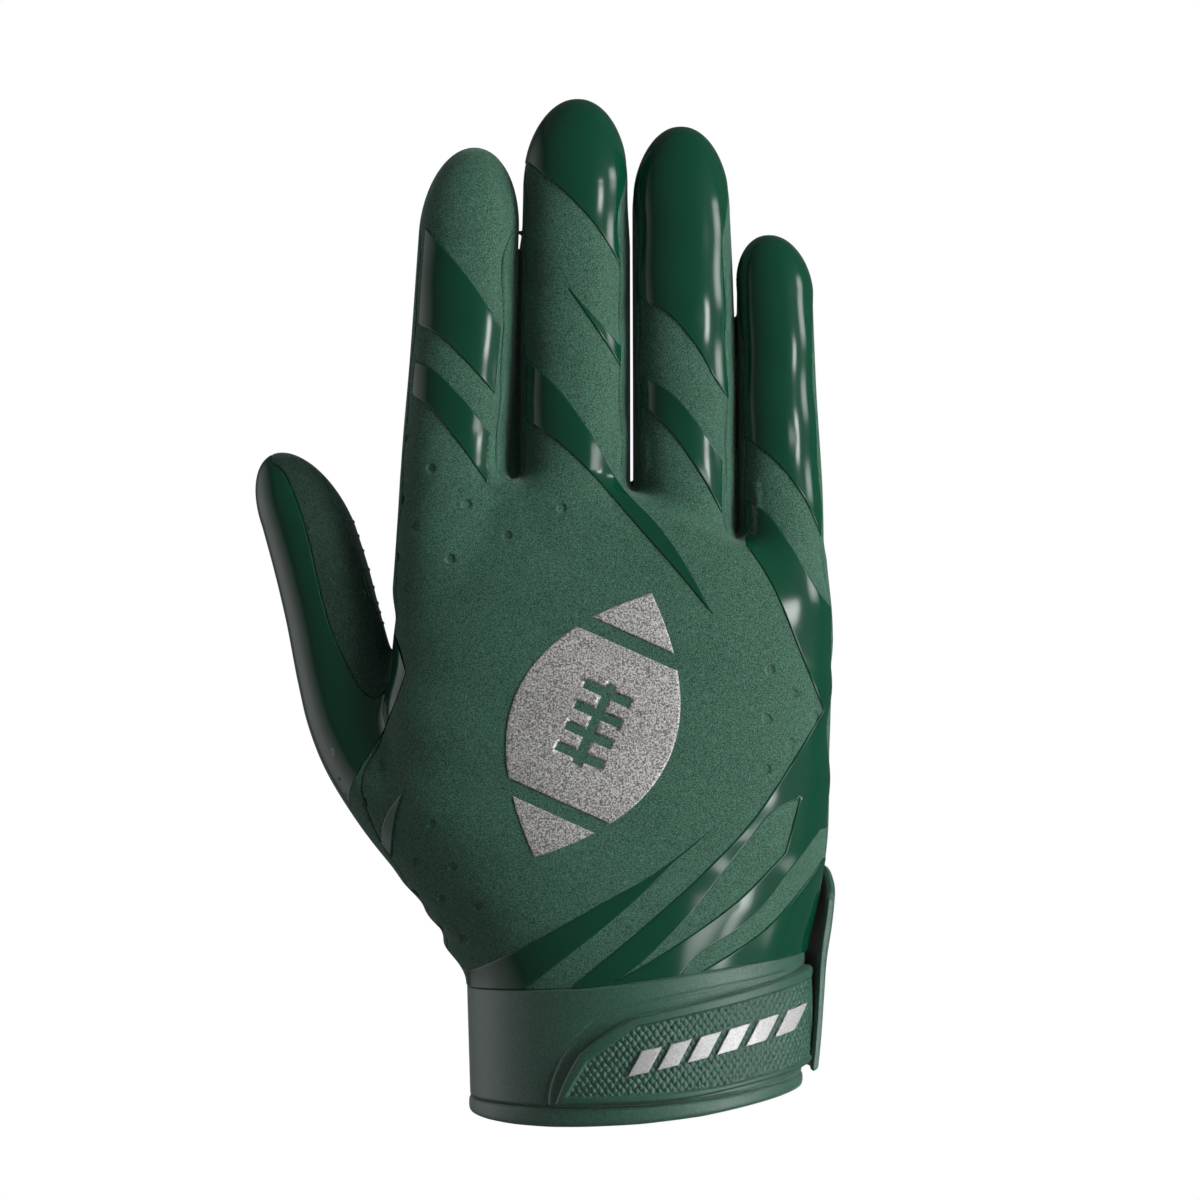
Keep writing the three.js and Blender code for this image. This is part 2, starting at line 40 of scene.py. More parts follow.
# Height, left edge, right edge, depth of the back, depth of the palm, squareness
HAND_ROWS = [
    (20, -38.4, 38.5, 26.8, 26.8, 2.0), (32, -38.9, 38.7, 26.5, 26.6, 2.05),
    (39, -41.6, 39.5, 25.6, 26.0, 2.1), (48, -46.0, 41.6, 24.0, 25.0, 2.2),
    (62, -54.5, 43.8, 21.6, 23.2, 2.3), (80, -57.4, 44.2, 19.4, 20.4, 2.4),
    (98, -56.0, 44.6, 18.0, 17.6, 2.5), (117, -53.7, 43.5, 16.4, 15.2, 2.5),
    (132, -49.6, 37.4, 13.0, 12.4, 2.4), (148, -41.5, 31.0, 8.6, 8.6, 2.3),
]
# Height, middle, half width, middle's depth, half depth; and the point of the tip
DIGIT_ROWS = {
    "index": ([(120, -42.4, 11.6, 0, 10.4), (146, -41.3, 12.1, 0, 10.6), (172, -39.4, 11.9, 0, 10.4),
               (200, -37.9, 11.4, 0, 9.6)], (219.8, -36.6, 0)),
    "middle": ([(120, -13.5, 12.0, 0, 10.8), (146, -13.7, 12.3, 0, 10.9), (190, -13.8, 12.1, 0, 10.5),
                (210.7, -13.6, 11.9, 0, 9.9)], (230.7, -13.1, 0)),
    "ring": ([(120, 11.4, 11.0, 0, 10.2), (146, 11.4, 11.4, 0, 10.4), (190, 10.9, 11.4, 0, 10.0),
              (205, 10.5, 11.1, 0, 9.4)], (224.4, 10.4, 0)),
    "little": ([(108, 33.6, 9.3, 0, 9.0), (140, 33.2, 9.6, 0, 9.0), (165, 32.4, 8.9, 0, 8.5),
                (187, 31.8, 8.6, 0, 8.0)], (199.7, 30.4, 0)),
    "thumb": ([(42, -27.8, 14.0, 4, 15.0), (53.5, -39.0, 14.0, 6, 15.0), (65.4, -49.7, 13.7, 8, 14.2),
               (77.5, -58.3, 13.0, 9.5, 12.8), (87.6, -63.4, 12.0, 10.5, 11.6),
               (97.7, -66.8, 11.1, 11.5, 10.8),
               (111.9, -69.7, 11.0, 12, 10.4), (124.1, -72.6, 11.0, 12, 10.2), (133.3, -75.3, 10.8, 12, 9.8)],
              (150.9, -81.6, 12)),
}
FINGERS = ["index", "middle", "ring", "little"]
# Where neighbouring fingers face each other: the X between them, and the height where they part
BETWEEN = {
    ("index", "middle"): (-27.0, 205),
    ("middle", "ring"): (-0.75, 212),
    ("ring", "little"): (22.9, 188),
}
BETWEEN_GAP = 0.1
# How far the palm side of each finger fills the way to its right neighbour
FULLER = {"index": 1.05, "middle": 1.0, "ring": 1.05}
# Depth of the seam between the back and the strips, by X
SEAM_X = [-46, -37, -27.2, -26.4, -1.4, -0.7, 22.5, 23.3, 40]
SEAM_DEPTH = [4.2, 5.4, 7.6, 4.4, 6.4, 5.0, 6.8, 4.8, 4.6]
TIP_SEAM = 1.6
TIP_FADE_BELOW, TIP_FADE = 27, 17
WRIST_STRIP_TOP = 90
# The seam of the palm drops back at the thumb's base: by how much, from which X and over how much
BASE_DROP, BASE_X, BASE_WIDE, BASE_TOP, BASE_TALL = 8, -40, 18, 104, 14
# The thumb's seam comes forward on the side towards the hand, between two heights
THUMB_FORWARD, FORWARD_FROM, FORWARD_TO, FORWARD_FADE = 5.7, 96, 150, 10
# Rounding of the cloth at its edges, width and drop, and distances of the rows of points beside them
SEAM_ROUND, THUMB_ROUND, EDGE_ROUND = (0.7, 0.5), (0.6, 0.4), (0.4, 0.3)
FRONT_ROWS, GUSSET_ROWS = (0.12, 0.3, 0.55, 0.9), (0.12, 0.3, 0.55)
PALM_ROWS, SIDE_ROWS = (0.2, 0.45, 0.8), (0.15, 0.4, 0.75)
# Distance between the points of each sheet, and distances of its rows from its edge
BACK_MESH, FACING_MESH = (0.868, (0.15, 0.4)), (0.713, (0.08, 0.2, 0.4))
BALL_MESH, STRAP_MESH, BAR_MESH = (0.558, (0.07, 0.18, 0.33)), (0.28, (0.1, 0.25, 0.5)), (0.8, (0.06, 0.18))
THUMB_STEP, PALM_STEP, SIDE_STEP = 0.72, 1.25, 0.64
# Turn in degrees from which a point of an outline stays a corner
THUMB_CORNER, GUSSET_CORNER, FACING_CORNER, STRAP_CORNER, FIELD_CORNER = 36, 40, 29, 15, 18
# Points round the cuff and up it, round the hem, and up and along the flap
CUFF_AROUND, CUFF_RISE_ROWS, HEM_AROUND, FLAP_GRID = 640, 74, 320, (84, 60)
# Gentle swells along the fingers and the back: height, Z and X over one radian, and shift of each
SWELLS = [(0.16, 3.1, 9.0, 0.0), (0.10, 5.3, -13.0, 1.0)]
SWELL_FROM, SWELL_FADE, SWELL_Y, SWELL_DEEP = 45, 15, -1, 5
# Soft folds at the wrist: X and Z of each on the outline, and how far it stands out
WRINKLES = [(-48.2, 50.5, 0.8), (-44.4, 43.8, 0.9), (-41.9, 37.4, 0.6)]
WRINKLE_SLOPE, WRINKLE_TALL, WRINKLE_WIDE = 0.45, 1.7, 6
WEB_LINE = [(-56, 145), (-26.3, 143.6), (-1, 141), (23, 130), (46, 127)]
WEB_BLEND = 3.0
FINGER_BLEND = 3.5
THUMB_BLEND = 6.0

# The cuff: its width, depth and edges, which rise to the right
CUFF_X = 0.1
CUFF_TOP_HALF = 38.5
CUFF_LOW_HALF = 37.6
CUFF_DEPTH = 27.0
CUFF_WALL, CUFF_EDGE_DROP, CUFF_EDGE_ROUND = 2.6, 0.5, 0.6
CUFF_TOP = [
    (-39, 29.3), (-31.6, 30.1), (-25.9, 30.5), (-16.1, 31.1), (-4.7, 32.2), (0.8, 32.9), (13.1, 34.6),
    (25.8, 36.3), (39, 37.4),
]
HEM_TOP = [
    (-39, 4.2), (-31.6, 4.6), (-25.7, 4.7), (-19.6, 4.9), (0, 5.7), (15.8, 6.8), (36.3, 9.3), (39, 9.6),
]
HEM_LOW = [
    (-39, 0.5), (-34, 0.25), (-28, 0.15), (-19.6, 0.3), (-11.7, 0.7), (0.8, 1.5), (15, 2.9), (36.4, 6.1),
    (39, 6.4),
]
# The hem's section is a rounded square, and stands out a little from the cuff
HEM_POWER, HEM_PROUD = 3.2, 0.25
# Heights between which the cuff grows wider
CUFF_LOW_Z, CUFF_HIGH_Z = 2.5, 33.1

STRAP_THICK = 1.4
STRAP_RIM = 0.6
STRAP_ROUND = 0.7
# The strap's far end: its turn from the front middle, and the low and high edge there of strap and field
STRAP_TURN, STRAP_FAR, FIELD_FAR = 116, (12.4, 35.5), (14.4, 33.0)
STRAP_OUTLINE = [
    (-17.3, 5.6), (-14.9, 11.9), (-12.2, 17.0), (-8.1, 20.6), (-0.7, 25.2), (14.9, 28.8), (29.1, 31.8),
    (38, 34.2), (38, 12.4), (34.3, 11.4), (26.2, 10.0), (9.2, 7.2), (-7.4, 6.2),
]
FIELD_OUTLINE = [
    (-14.9, 7.5), (-10.4, 15.6), (-0.1, 23.4), (14.9, 26.6), (29, 29.6), (38, 31.8), (38, 14.4), (30.5, 12.0),
    (14.9, 9.4), (-1.9, 8.0),
]
SCALE_WIDE, SCALE_ROW, SCALE_TALL, SCALE_HIGH, SCALE_LEVEL = 1.6, 1.15, 1.35, 0.75, 0.65
# The groove on the cuff where the strap lands
LANDING_GROOVE = 0.35
LANDING = [
    (38.4, 34.4), (32.2, 33.2), (19.4, 31.4), (5.6, 28.9), (0.8, 27.7), (-4.7, 26.3), (-8.6, 24.4),
    (-12.6, 20.8), (-15.7, 17.4), (-18.1, 12.8), (-19.4, 8.6), (-19.7, 5.0),
]
BAR_COUNT = 6
BAR_FIRST_X = -1.8
BAR_PITCH = 6.2
BAR_WIDTH = 4.3
BAR_LOW = 12.4
BAR_RISE = 0.235
BAR_TALL = 6.6
BAR_LEAN = 2.9
BAR_THICK, BAR_SUNK, BAR_ROUND, BAR_ROUND_DROP = 0.9, 0.3, 0.2, 0.12

# Height, half width and depth of the flap
FLAP_ROWS = [
    (9.8, 41.6, 30.2), (17, 42.3, 31.0), (27, 43.0, 31.4), (35, 43.6, 31.2), (43, 44.8, 29.8),
    (50, 45.5, 28.0), (56, 45.6, 26.4),
]
FLAP_THICK = 1.9
# Height and turn of the flap's front edge, the heights of its top in front and behind, and its far end
FLAP_FRONT = [(9.8, -7), (22, -7), (32, -9), (40, -12), (48, -10), (60, -4)]
FLAP_TOP = (49.5, 56.0)
FLAP_END = 42
FLAP_WIDE, FLAP_TOP_SHARE, FLAP_STITCH, FLAP_STITCH_IN, FLAP_STITCH_HALF = 36, 0.45, 0.22, 2.2, 0.35

FACINGS = {
    "index_upper_facing": [
        (-47.4, 201.1), (-37.2, 188.6), (-30.4, 178.2), (-31.7, 163.1), (-39.1, 171.3), (-44.4, 176.5),
        (-49.0, 178.9),
    ],
    "index_lower_facing": [
        (-49.6, 170.6), (-46.4, 169.3), (-40.4, 163.7), (-32.7, 154.2), (-33.1, 142.3), (-41.0, 153.6),
        (-47.0, 160.8), (-50.4, 163.0),
    ],
    "middle_tip_facing": [
        (-30, 236), (4, 236), (4, 182), (-3.1, 191.7), (-8.1, 199.7), (-13.4, 206.0), (-18.7, 210.9),
        (-23.2, 214.7), (-30, 219),
    ],
    "middle_slash_facing": [(-15.5, 187.4), (-3.2, 173.8), (-3.4, 169.5)],
    "middle_long_facing": [
        (-24.6, 171.5), (-18.6, 165.7), (-10.7, 155.2), (-2.8, 141.8), (4.8, 133.7), (17.5, 112.9),
        (8.6, 123.8), (1.0, 132.5), (-6.8, 141.6), (-13.3, 148.5), (-20.0, 154.3), (-24.7, 157.2),
    ],
    "ring_tip_facing": [
        (-2, 230), (26, 230), (26, 158), (19.9, 163.5), (13.0, 174.6), (6.4, 181.9), (1.3, 184.9), (-2, 187),
    ],
    "ring_middle_facing": [
        (1.8, 167.2), (6.4, 164.7), (13.0, 157.8), (19.5, 147.9), (19.5, 136.1), (13.0, 147.3),
        (6.4, 156.2), (1.6, 160.6),
    ],
    "little_tip_facing": [
        (22, 205), (46, 205), (46, 124), (42.5, 130.2), (37.6, 140.1), (31.5, 148.0), (24.5, 154.0),
        (22, 156),
    ],
    "outer_facing": [
        (24.9, 139.5), (29.2, 136.8), (34.7, 129.3), (43.0, 116.4), (50, 110), (50, 66), (41.5, 64.9),
        (33.7, 55.5), (25.6, 46.0), (11.7, 36.8), (6, 28), (-9, 28), (-4.6, 32.7), (1.0, 36.0), (10.3, 41.7),
        (22.7, 50.3), (33.3, 60.4), (36.7, 72.2), (30.2, 69.1), (25.0, 63.2), (7.3, 42.5), (-0.7, 35.6),
        (-5.2, 32.4), (-10, 28),
        (-18, 28), (-10.2, 34.9), (1.0, 44.2), (13.4, 55.0), (24.8, 66.4), (37.8, 84.8), (42.3, 91.8),
        (37.9, 102.4), (27.6, 125.0), (24.9, 128.8),
    ],
    "cuff_side_facing": [
        (50, 60), (42.3, 58.3), (38.2, 53.3), (29.0, 43.9), (16.7, 36.2), (11.5, 33.4), (7.5, 31), (8, 28),
        (50, 28),
    ],
    "heel_facing": [
        (-46, 28), (-46, 36), (-37.8, 33.2), (-23.4, 40.8), (-8.0, 49.6), (3.8, 56.1), (13.3, 63.1),
        (24.5, 72.9), (16.3, 65.5), (3.7, 53.9), (-7.9, 44.0), (-16.3, 37.3), (-28, 28),
    ],
    "thumb_slash_facing": [(-51.6, 74.4), (-57.2, 65.0), (-57.4, 61.4), (-55.0, 58.4), (-53.0, 70.6)],
}
FACING_RAISE = 0.32
FACING_ROUND = 0.28
FILM = 0.2

# The line where the thumb's cloth meets the hand's, and what lies on either side of it
THUMB_LINE = [
    (-56.4, 111.5), (-54.7, 109.0), (-51.8, 100.4), (-54.1, 94.0), (-57.2, 86.9), (-61.1, 80.8),
    (-64.0, 75.8), (-65.2, 72.5), (-65.0, 69.4),
]
BACK_CORNERS = [(-75, 69.3), (-75, 28), (50, 28), (50, 236), (-57.2, 236)]
THUMB_REGION = THUMB_LINE + [(-110, 69.4), (-110, 160), (-57.4, 160), (-57.4, 112.5)]
GUSSET_OUTLINE = [
    (-83.9, 148.4), (-84, 156), (-74, 156), (-72.6, 146.6), (-68.4, 139.6), (-65.6, 135.4), (-64.5, 131.0),
    (-62.9, 126.0), (-62.1, 118.6), (-59.6, 114.6), (-57.4, 109.8), (-55.6, 106.0), (-55.5, 101.9),
    (-56.3, 97.8), (-57.9, 95.0), (-59.7, 94.3), (-61.5, 95.4), (-65.4, 101.2), (-69.5, 110.1),
    (-71.9, 118.3), (-73.7, 126.5), (-75.5, 133.6), (-78.4, 141.6), (-81.6, 147.1),
]
# Ribs at the thumb's edge
RIBS = [134.9, 131.6, 128.2, 123.8, 119.7, 116.0, 113.9, 111.4]
RIB_HALF, RIB_TALL, RIB_SIDE, RIB_FROM, RIB_FADE = 0.3, 0.28, 0.4, 3, 5

# The football: its middle, length, width and lean, its bands and its laces
BALL_X, BALL_Z, BALL_LENGTH, BALL_WIDTH, BALL_LEAN = -9.5, 89.0, 64.0, 37.0, -24.0
BALL_BAND_FROM, BALL_BAND_WIDTH = 18.5, 3.2
LACE_COUNT, LACE_PITCH, LACE_LONG, LACE_WIDE, LACE_SPINE = 4, 5.0, 11.0, 1.9, 19.0
PRINT_RAISE, PRINT_ROUND = 0.36, (0.35, 0.4)

# Raised rims round the low ends of the slots between the fingers: X and Z of the lowest point of each
CROTCHES = [(-30.0, 141.6), (-0.9, 141.0), (24.2, 130.6)]
RIM_HALF, RIM_WIDE, RIM_TALL = 2.9, 0.75, 0.4

DIMPLES = [
    (-51.2, 153.1), (-46.0, 146.3), (-53.3, 139.5), (-38.0, 138.2), (-49.6, 133.1), (-16.6, 137.3),
    (-28.8, 131.2), (-41.6, 125.9), (-54.3, 126.5), (-51.1, 119.4),
    (30.0, 101.1), (35.4, 95.7), (40.3, 90.6), (29.4, 90.1), (34.9, 84.6), (29.1, 78.9),
    (-56.9, 78.8), (-61.3, 70.8), (-45.5, 66.6), (-62.0, 65.0), (-49.0, 57.7), (-40.7, 57.0),
    (-43.3, 49.5), (-35.1, 48.4), (-49.8, 50.2), (-43.8, 42.9), (-38.3, 40.6),
]
DIMPLE_RADIUS = 1.3
DIMPLE_DEPTH = 0.45
DIMPLE_RINGS = (0.4, 0.7, 0.82, 0.91, 1.0)

# Width, height, place, strength and fading of each light, what it aims at, and which rays see it
GLOVE, WRIST, CUFF_MIDDLE = (0, 0, 0.12), (0.02, -0.02, 0.05), (0, 0, 0.03)
SOFTBOXES = {
    "key_light": (0.60, 1.0, (0.90, -0.55, 0.35), 22, 2.0, GLOVE, "diffuse"),
    "front_light": (1.2, 0.9, (0.50, -1.3, 0.70), 2.1, 1.5, GLOVE, "diffuse"),
    "streak_light": (0.26, 0.24, (0.74, -0.86, 0.20), 13, 2.0, GLOVE, "glossy"),
    "patch_light": (0.50, 0.34, (1.05, -0.33, 0.42), 6, 2.0, GLOVE, "glossy"),
    "wrist_light": (0.18, 0.07, (0.24, -0.42, 0.125), 5.5, 3.0, WRIST, "glossy"),
    "low_light": (0.7, 0.34, (0.80, -0.60, -0.24), 8, 2.0, CUFF_MIDDLE, "glossy"),
    "left_light": (1.9, 2.2, (-1.0, 0.16, 0.08), 0.95, 1.2, GLOVE, "diffuse and glossy"),
    "back_light": (1.4, 1.2, (-0.4, 1.3, 0.7), 4, 1.5, GLOVE, "diffuse"),
}
WORLD_LIGHT = 0.10
# Corners of the stage in metres
FLOOR_Z, WALL_TOP, STAGE_HALF, STAGE_FRONT, STAGE_BACK = -0.16, 2.6, 2.5, -0.5, 2.2
CAMERA_X, CAMERA_AWAY, CAMERA_Z, LENS, SENSOR = -7.98, 720, 116.7, 94.74, 36


# Smooth form of the hand

def hermite(t, start, end, start_slope, end_slope):
    """A smooth curve between two values with given slopes, over t from 0 to 1"""
    return ((2 * t**3 - 3 * t**2 + 1) * start + (t**3 - 2 * t**2 + t) * start_slope
            + (3 * t**2 - 2 * t**3) * end + (t**3 - t**2) * end_slope)


def dense(rows):
    """Smooth curves through rows that start with their height"""
    rows = np.array(rows, float)
    z, values = rows[:, 0], rows[:, 1:]
    slopes = np.gradient(values, z, axis=0)
    fine = np.arange(z[0], z[-1] + 0.25, 0.25)
    k = np.clip(np.searchsorted(z, fine, side="right") - 1, 0, len(z) - 2)
    span = (z[k + 1] - z[k])[:, None]
    t = np.clip((fine - z[k])[:, None] / span, 0, 1)
    return fine, hermite(t, values[k], values[k + 1], span * slopes[k], span * slopes[k + 1])


def at(table, z):
    """Values of the curves at heights"""
    fine, curve = table
    return [np.interp(z, fine, curve[:, i]) for i in range(curve.shape[1])]


HAND = dense(HAND_ROWS)
DIGITS = {name: (dense(rows), tip) for name, (rows, tip) in DIGIT_ROWS.items()}
WEB = dense([(x, z) for x, z in WEB_LINE])


def smooth_min(a, b, k):
    """The smaller of two, blended over k"""
    h = np.maximum(k - np.abs(a - b), 0) / k
    return np.minimum(a, b) - h * h * k / 4


def ease(t):
    """From 0 to 1 with level ends"""
    t = np.clip(t, 0, 1)
    return t * t * (3 - 2 * t)


def fuller(name, half, cx, x, y, z):
    """The half width, which grows on the palm side till the finger all but meets its neighbour"""
    palm_side = ease((y + 1) / 4)
    for (left, right), (middle, parts) in BETWEEN.items():
        if name not in (left, right):
            continue
        reach = (np.abs(middle - cx) - BETWEEN_GAP / 2) * FULLER[left]
        faces = np.where(x > cx, 1.0, 0.0) if name == left else np.where(x < cx, 1.0, 0.0)
        near = ease((parts - z) / 16)
        half = half + (np.maximum(reach, half) - half) * palm_side * faces * near
    return half


def front_seam(x, z):
    """How far in front of the middle the seam of the back lies; it drops back over the fingertips"""
    tips = [DIGITS[name][1][0] for name in FINGERS]
    tip_z = np.interp(x, [middle + side for middle, _ in BETWEEN.values() for side in (-0.3, 0.3)],
                      [tip for pair in zip(tips, tips[1:]) for tip in pair])
    depth = np.interp(x, SEAM_X, SEAM_DEPTH)
    return depth + (TIP_SEAM - depth) * ease((z - tip_z + TIP_FADE_BELOW) / TIP_FADE)


def rear_seam(x, z):
    """How far behind the middle the seam of the palm lies; it drops back at the thumb's base"""
    return SEAM_Y + BASE_DROP * ease((BASE_X - x) / BASE_WIDE) * ease((BASE_TOP - z) / BASE_TALL)


def thumb_seam(x, z):
    """Depth of the thumb's seam, which shows on the side towards the hand"""
    cx = middle_of("thumb", z)
    rise = ease((z - FORWARD_FROM) / FORWARD_FADE) * ease((FORWARD_TO - z) / FORWARD_FADE)
    return THUMB_SEAM_Y - THUMB_FORWARD * ease(((x - cx) / 11 - 0.15) / 0.6) * rise


def middle_of(name, z):
    """X of the middle of a finger or the thumb"""
    fine, curve = DIGITS[name][0]
    tip_z, tip_x, _ = DIGITS[name][1]
    return np.interp(z, [*fine, tip_z], [*curve[:, 0], tip_x])


def digit_field(name, x, y, z):
    """Distance outside one finger or the thumb, below 0 inside"""
    table, (tip_z, tip_x, tip_y) = DIGITS[name]
    low, base = table[0][0], DIGIT_ROWS[name][0][-1][0]
    cx, half, cy, depth = at(table, np.clip(z, low, base))
    over = np.clip((z - base) / (tip_z - base), 0, None)
    end_x, end_y = DIGIT_ROWS[name][0][-1][1], DIGIT_ROWS[name][0][-1][3]
    cx = cx + (tip_x - end_x) * over
    cy = cy + (tip_y - end_y) * over
    under = np.clip((low - z) / 10, 0, None)
    half = fuller(name, half, cx, x, y, z)
    across = np.abs((x - cx) / half) ** DIGIT_POWER
    deep = np.abs((y - cy) / depth) ** DIGIT_POWER
    r = (across + deep) ** (2 / DIGIT_POWER) + over**2 + under**2
    return (np.sqrt(r) - 1) * np.minimum(half, depth)


def field(x, y, z):
    """Distance outside the whole glove, below 0 inside"""
    left, right, back, palm, power = at(HAND, np.clip(z, 20, 148))
    half = (right - left) / 2
    depth = np.where(y < 0, back, palm)
    r = (np.abs((x - (left + right) / 2) / half) ** power + np.abs(y / depth) ** power) ** (1 / power)
    hand = (r - 1) * depth
    web = z - at(WEB, x)[0]
    hand = -smooth_min(-hand, -web, WEB_BLEND)
    fingers = digit_field("index", x, y, z)
    for name in FINGERS[1:]:
        fingers = np.minimum(fingers, digit_field(name, x, y, z))
    whole = smooth_min(fingers, hand, FINGER_BLEND)
    whole = smooth_min(whole, digit_field("thumb", x, y, z), THUMB_BLEND)
    for fold_x, fold_z, height in WRINKLES:
        along = (z - fold_z + WRINKLE_SLOPE * (x - fold_x)) / WRINKLE_TALL
        whole = whole - height * np.exp(-along * along - ((x - fold_x) / WRINKLE_WIDE) ** 2)
    for height, high, wide, shift in SWELLS:
        swell = height * np.sin(z / high + x / wide + shift)
        whole = whole + swell * ease((z - SWELL_FROM) / SWELL_FADE) * ease((SWELL_Y - y) / SWELL_DEEP)
    return whole


def field_at(p):
    return field(p[:, 0], p[:, 1], p[:, 2])


def gradient(measure, p, nudge=0.03):
    """How fast a measure grows at points along each axis"""
    steps = nudge * np.eye(p.shape[1])
    return np.column_stack([(measure(p + step) - measure(p - step)) / (2 * nudge) for step in steps])


def unit(v):
    return v / np.maximum(np.linalg.norm(v, axis=1, keepdims=True), 1e-9)


def settled(p, fixed=None, rounds=4):
    """Moves points onto the form, square to the directions in `fixed`"""
    p = p.copy()
    for _ in range(rounds):
        g = gradient(field_at, p)
        if fixed is not None:
            g = g - (g * fixed).sum(1, keepdims=True) * fixed
        size = np.maximum((g * g).sum(1), 0.05)
        p -= np.clip(field_at(p) / size, -1.5, 1.5)[:, None] * g
    return p


def lifted(xz):
    """Points of the front over given X and Z, in front of the seam"""
    x, z = xz[:, 0], xz[:, 1]
    near = -front_seam(x, z)
    far = np.full(len(xz), NEAREST_Y)
    for _ in range(24):
        mid = (near + far) / 2
        inside = field(x, mid, z) < 0
        near = np.where(inside, mid, near)
        far = np.where(inside, far, mid)
    return np.column_stack([x, (near + far) / 2, z])


# Outlines

def spline(points, closed=True, corner=32, spacing=0.6):
    """Rounds an outline through its points and keeps the corners that turn more than `corner` degrees"""
    p = np.array(points, float)
    n = len(p)
    count = n if closed else n - 1
    leg = np.roll(p, -1, 0) - p
    length = np.linalg.norm(leg, axis=1)
    way = leg / length[:, None]
    before, after = np.roll(way, 1, 0), way
    turn = np.degrees(np.arccos(np.clip((before * after).sum(1), -1, 1)))
    smooth = turn < corner
    if not closed:
        smooth[0] = smooth[-1] = False
    lean = before * length[:, None] + after * np.roll(length, 1)[:, None]
    lean = lean / np.maximum(np.linalg.norm(lean, axis=1, keepdims=True), 1e-9)
    out = []
    for i in range(count):
        j = (i + 1) % n
        chord, size = leg[i], length[i]
        start = lean[i] * size if smooth[i] else None
        end = lean[j] * size if smooth[j] else None
        if start is None and end is None:
            start = end = chord
        elif start is None:
            start = (3 * chord - end) / 2
        elif end is None:
            end = (3 * chord - start) / 2
        steps = max(2, int(math.ceil(size / spacing)))
        t = (np.arange(steps) / steps)[:, None]
        out.append(hermite(t, p[i], p[j], start, end))
    if not closed:
        out.append(p[-1:])
    return np.vstack(out)


def filled(loop, spacing=0.6):
    """Adds points along the straight legs of a loop"""
    out = []
    for a, b in zip(loop, np.roll(loop, -1, 0)):
        steps = max(1, int(np.linalg.norm(b - a) / spacing))
        out += [a + (b - a) * i / steps for i in range(steps)]
    return np.array(out)


def edge_distance(line, x, z, closed=True):
    """Distance to a line with its direction, positive inside a closed one"""
    a = np.asarray(line)
    b = np.roll(a, -1, 0)
    if not closed:
        a, b = a[:-1], b[:-1]
    best = np.full(len(x), 1e9)
    away = np.zeros((len(x), 2))
    inside = np.zeros(len(x), bool)
    for (ax, az), (bx, bz) in zip(a, b):
        ex, ez = bx - ax, bz - az
        t = np.clip(((x - ax) * ex + (z - az) * ez) / max(ex * ex + ez * ez, 1e-12), 0, 1)
        dx, dz = x - ax - t * ex, z - az - t * ez
        d = dx * dx + dz * dz
        nearer = d < best
        best = np.where(nearer, d, best)
        away[nearer] = np.column_stack([dx, dz])[nearer]
        if closed:
            crosses = (az > z) != (bz > z)
            at_x = ax + (z - az) * ex / (ez if ez else 1e-12)
            inside ^= crosses & (x < at_x)
    d = np.sqrt(best)
    way = away / np.maximum(d, 1e-9)[:, None]
    if not closed:
        return d, way
    sign = np.where(inside, 1.0, -1.0)
    return d * sign, way * sign[:, None]


# Triangle meshes as arrays

def triangulated(points, loops):
    """Triangles between points in a plane, with the loops as kept edges"""
    parts, edges, start = [], [], 0
    for loop in loops:
        n = len(loop)
        parts.append(loop)
        edges += [(start + i, start + (i + 1) % n) for i in range(n)]
        start += n
    parts.append(points)
    every = np.vstack(parts)
    result = delaunay_2d_cdt([Vector(p) for p in every], edges, [], 1, 1e-5, False)
    v = np.array([p[:] for p in result[0]])
    return v, np.array([f for f in result[2] if len(f) == 3], int)


def sliced(v, f, value, keep=True):
    """Cuts triangles where `value` passes 0; drops the part below 0 if `keep` is False"""
    s = value.copy()
    s[np.abs(s) < 1e-6] = 0
    side = np.sign(s).astype(int)
    fs = side[f]
    mixed = (fs.max(1) > 0) & (fs.min(1) < 0)
    whole, cut = f[~mixed], f[mixed]
    zero = (side[cut] == 0).any(1)
    a, b = cut[~zero], cut[zero]
    total = side[a].sum(1)
    lone = np.argmax(side[a] == -np.sign(total)[:, None], axis=1)
    a = np.take_along_axis(a, (lone[:, None] + np.arange(3)) % 3, 1)
    first = np.argmax(side[b] == 0, axis=1)
    b = np.take_along_axis(b, (first[:, None] + np.arange(3)) % 3, 1)
    ends = np.sort(np.concatenate([a[:, [0, 1]], a[:, [0, 2]], b[:, [1, 2]]]), 1)
    key, back = np.unique(ends[:, 0] * len(v) + ends[:, 1], return_inverse=True)
    lo, hi = key // len(v), key % len(v)
    t = s[lo] / (s[lo] - s[hi])
    fresh = v[lo] + t[:, None] * (v[hi] - v[lo])
    made = len(v) + back
    ab, ac, bc = made[:len(a)], made[len(a):2 * len(a)], made[2 * len(a):]
    faces = np.concatenate([
        whole, np.column_stack([a[:, 0], ab, ac]), np.column_stack([ab, a[:, 1], a[:, 2]]),
        np.column_stack([ab, a[:, 2], ac]), np.column_stack([b[:, 0], b[:, 1], bc]),
        np.column_stack([b[:, 0], bc, b[:, 2]]),
    ])
    verts = np.vstack([v, fresh])
    new = np.zeros(len(verts), bool)
    new[len(v):] = True
    if not keep:
        s = np.concatenate([s, np.zeros(len(fresh))])
        faces = faces[s[faces].sum(1) > 0]
    return verts, faces, new


def compact(v, f, *others):
    """Leaves out the points that no triangle uses"""
    used = np.unique(f)
    where = np.full(len(v), -1)
    where[used] = np.arange(len(used))
    return (v[used], where[f], *[o[used] for o in others])


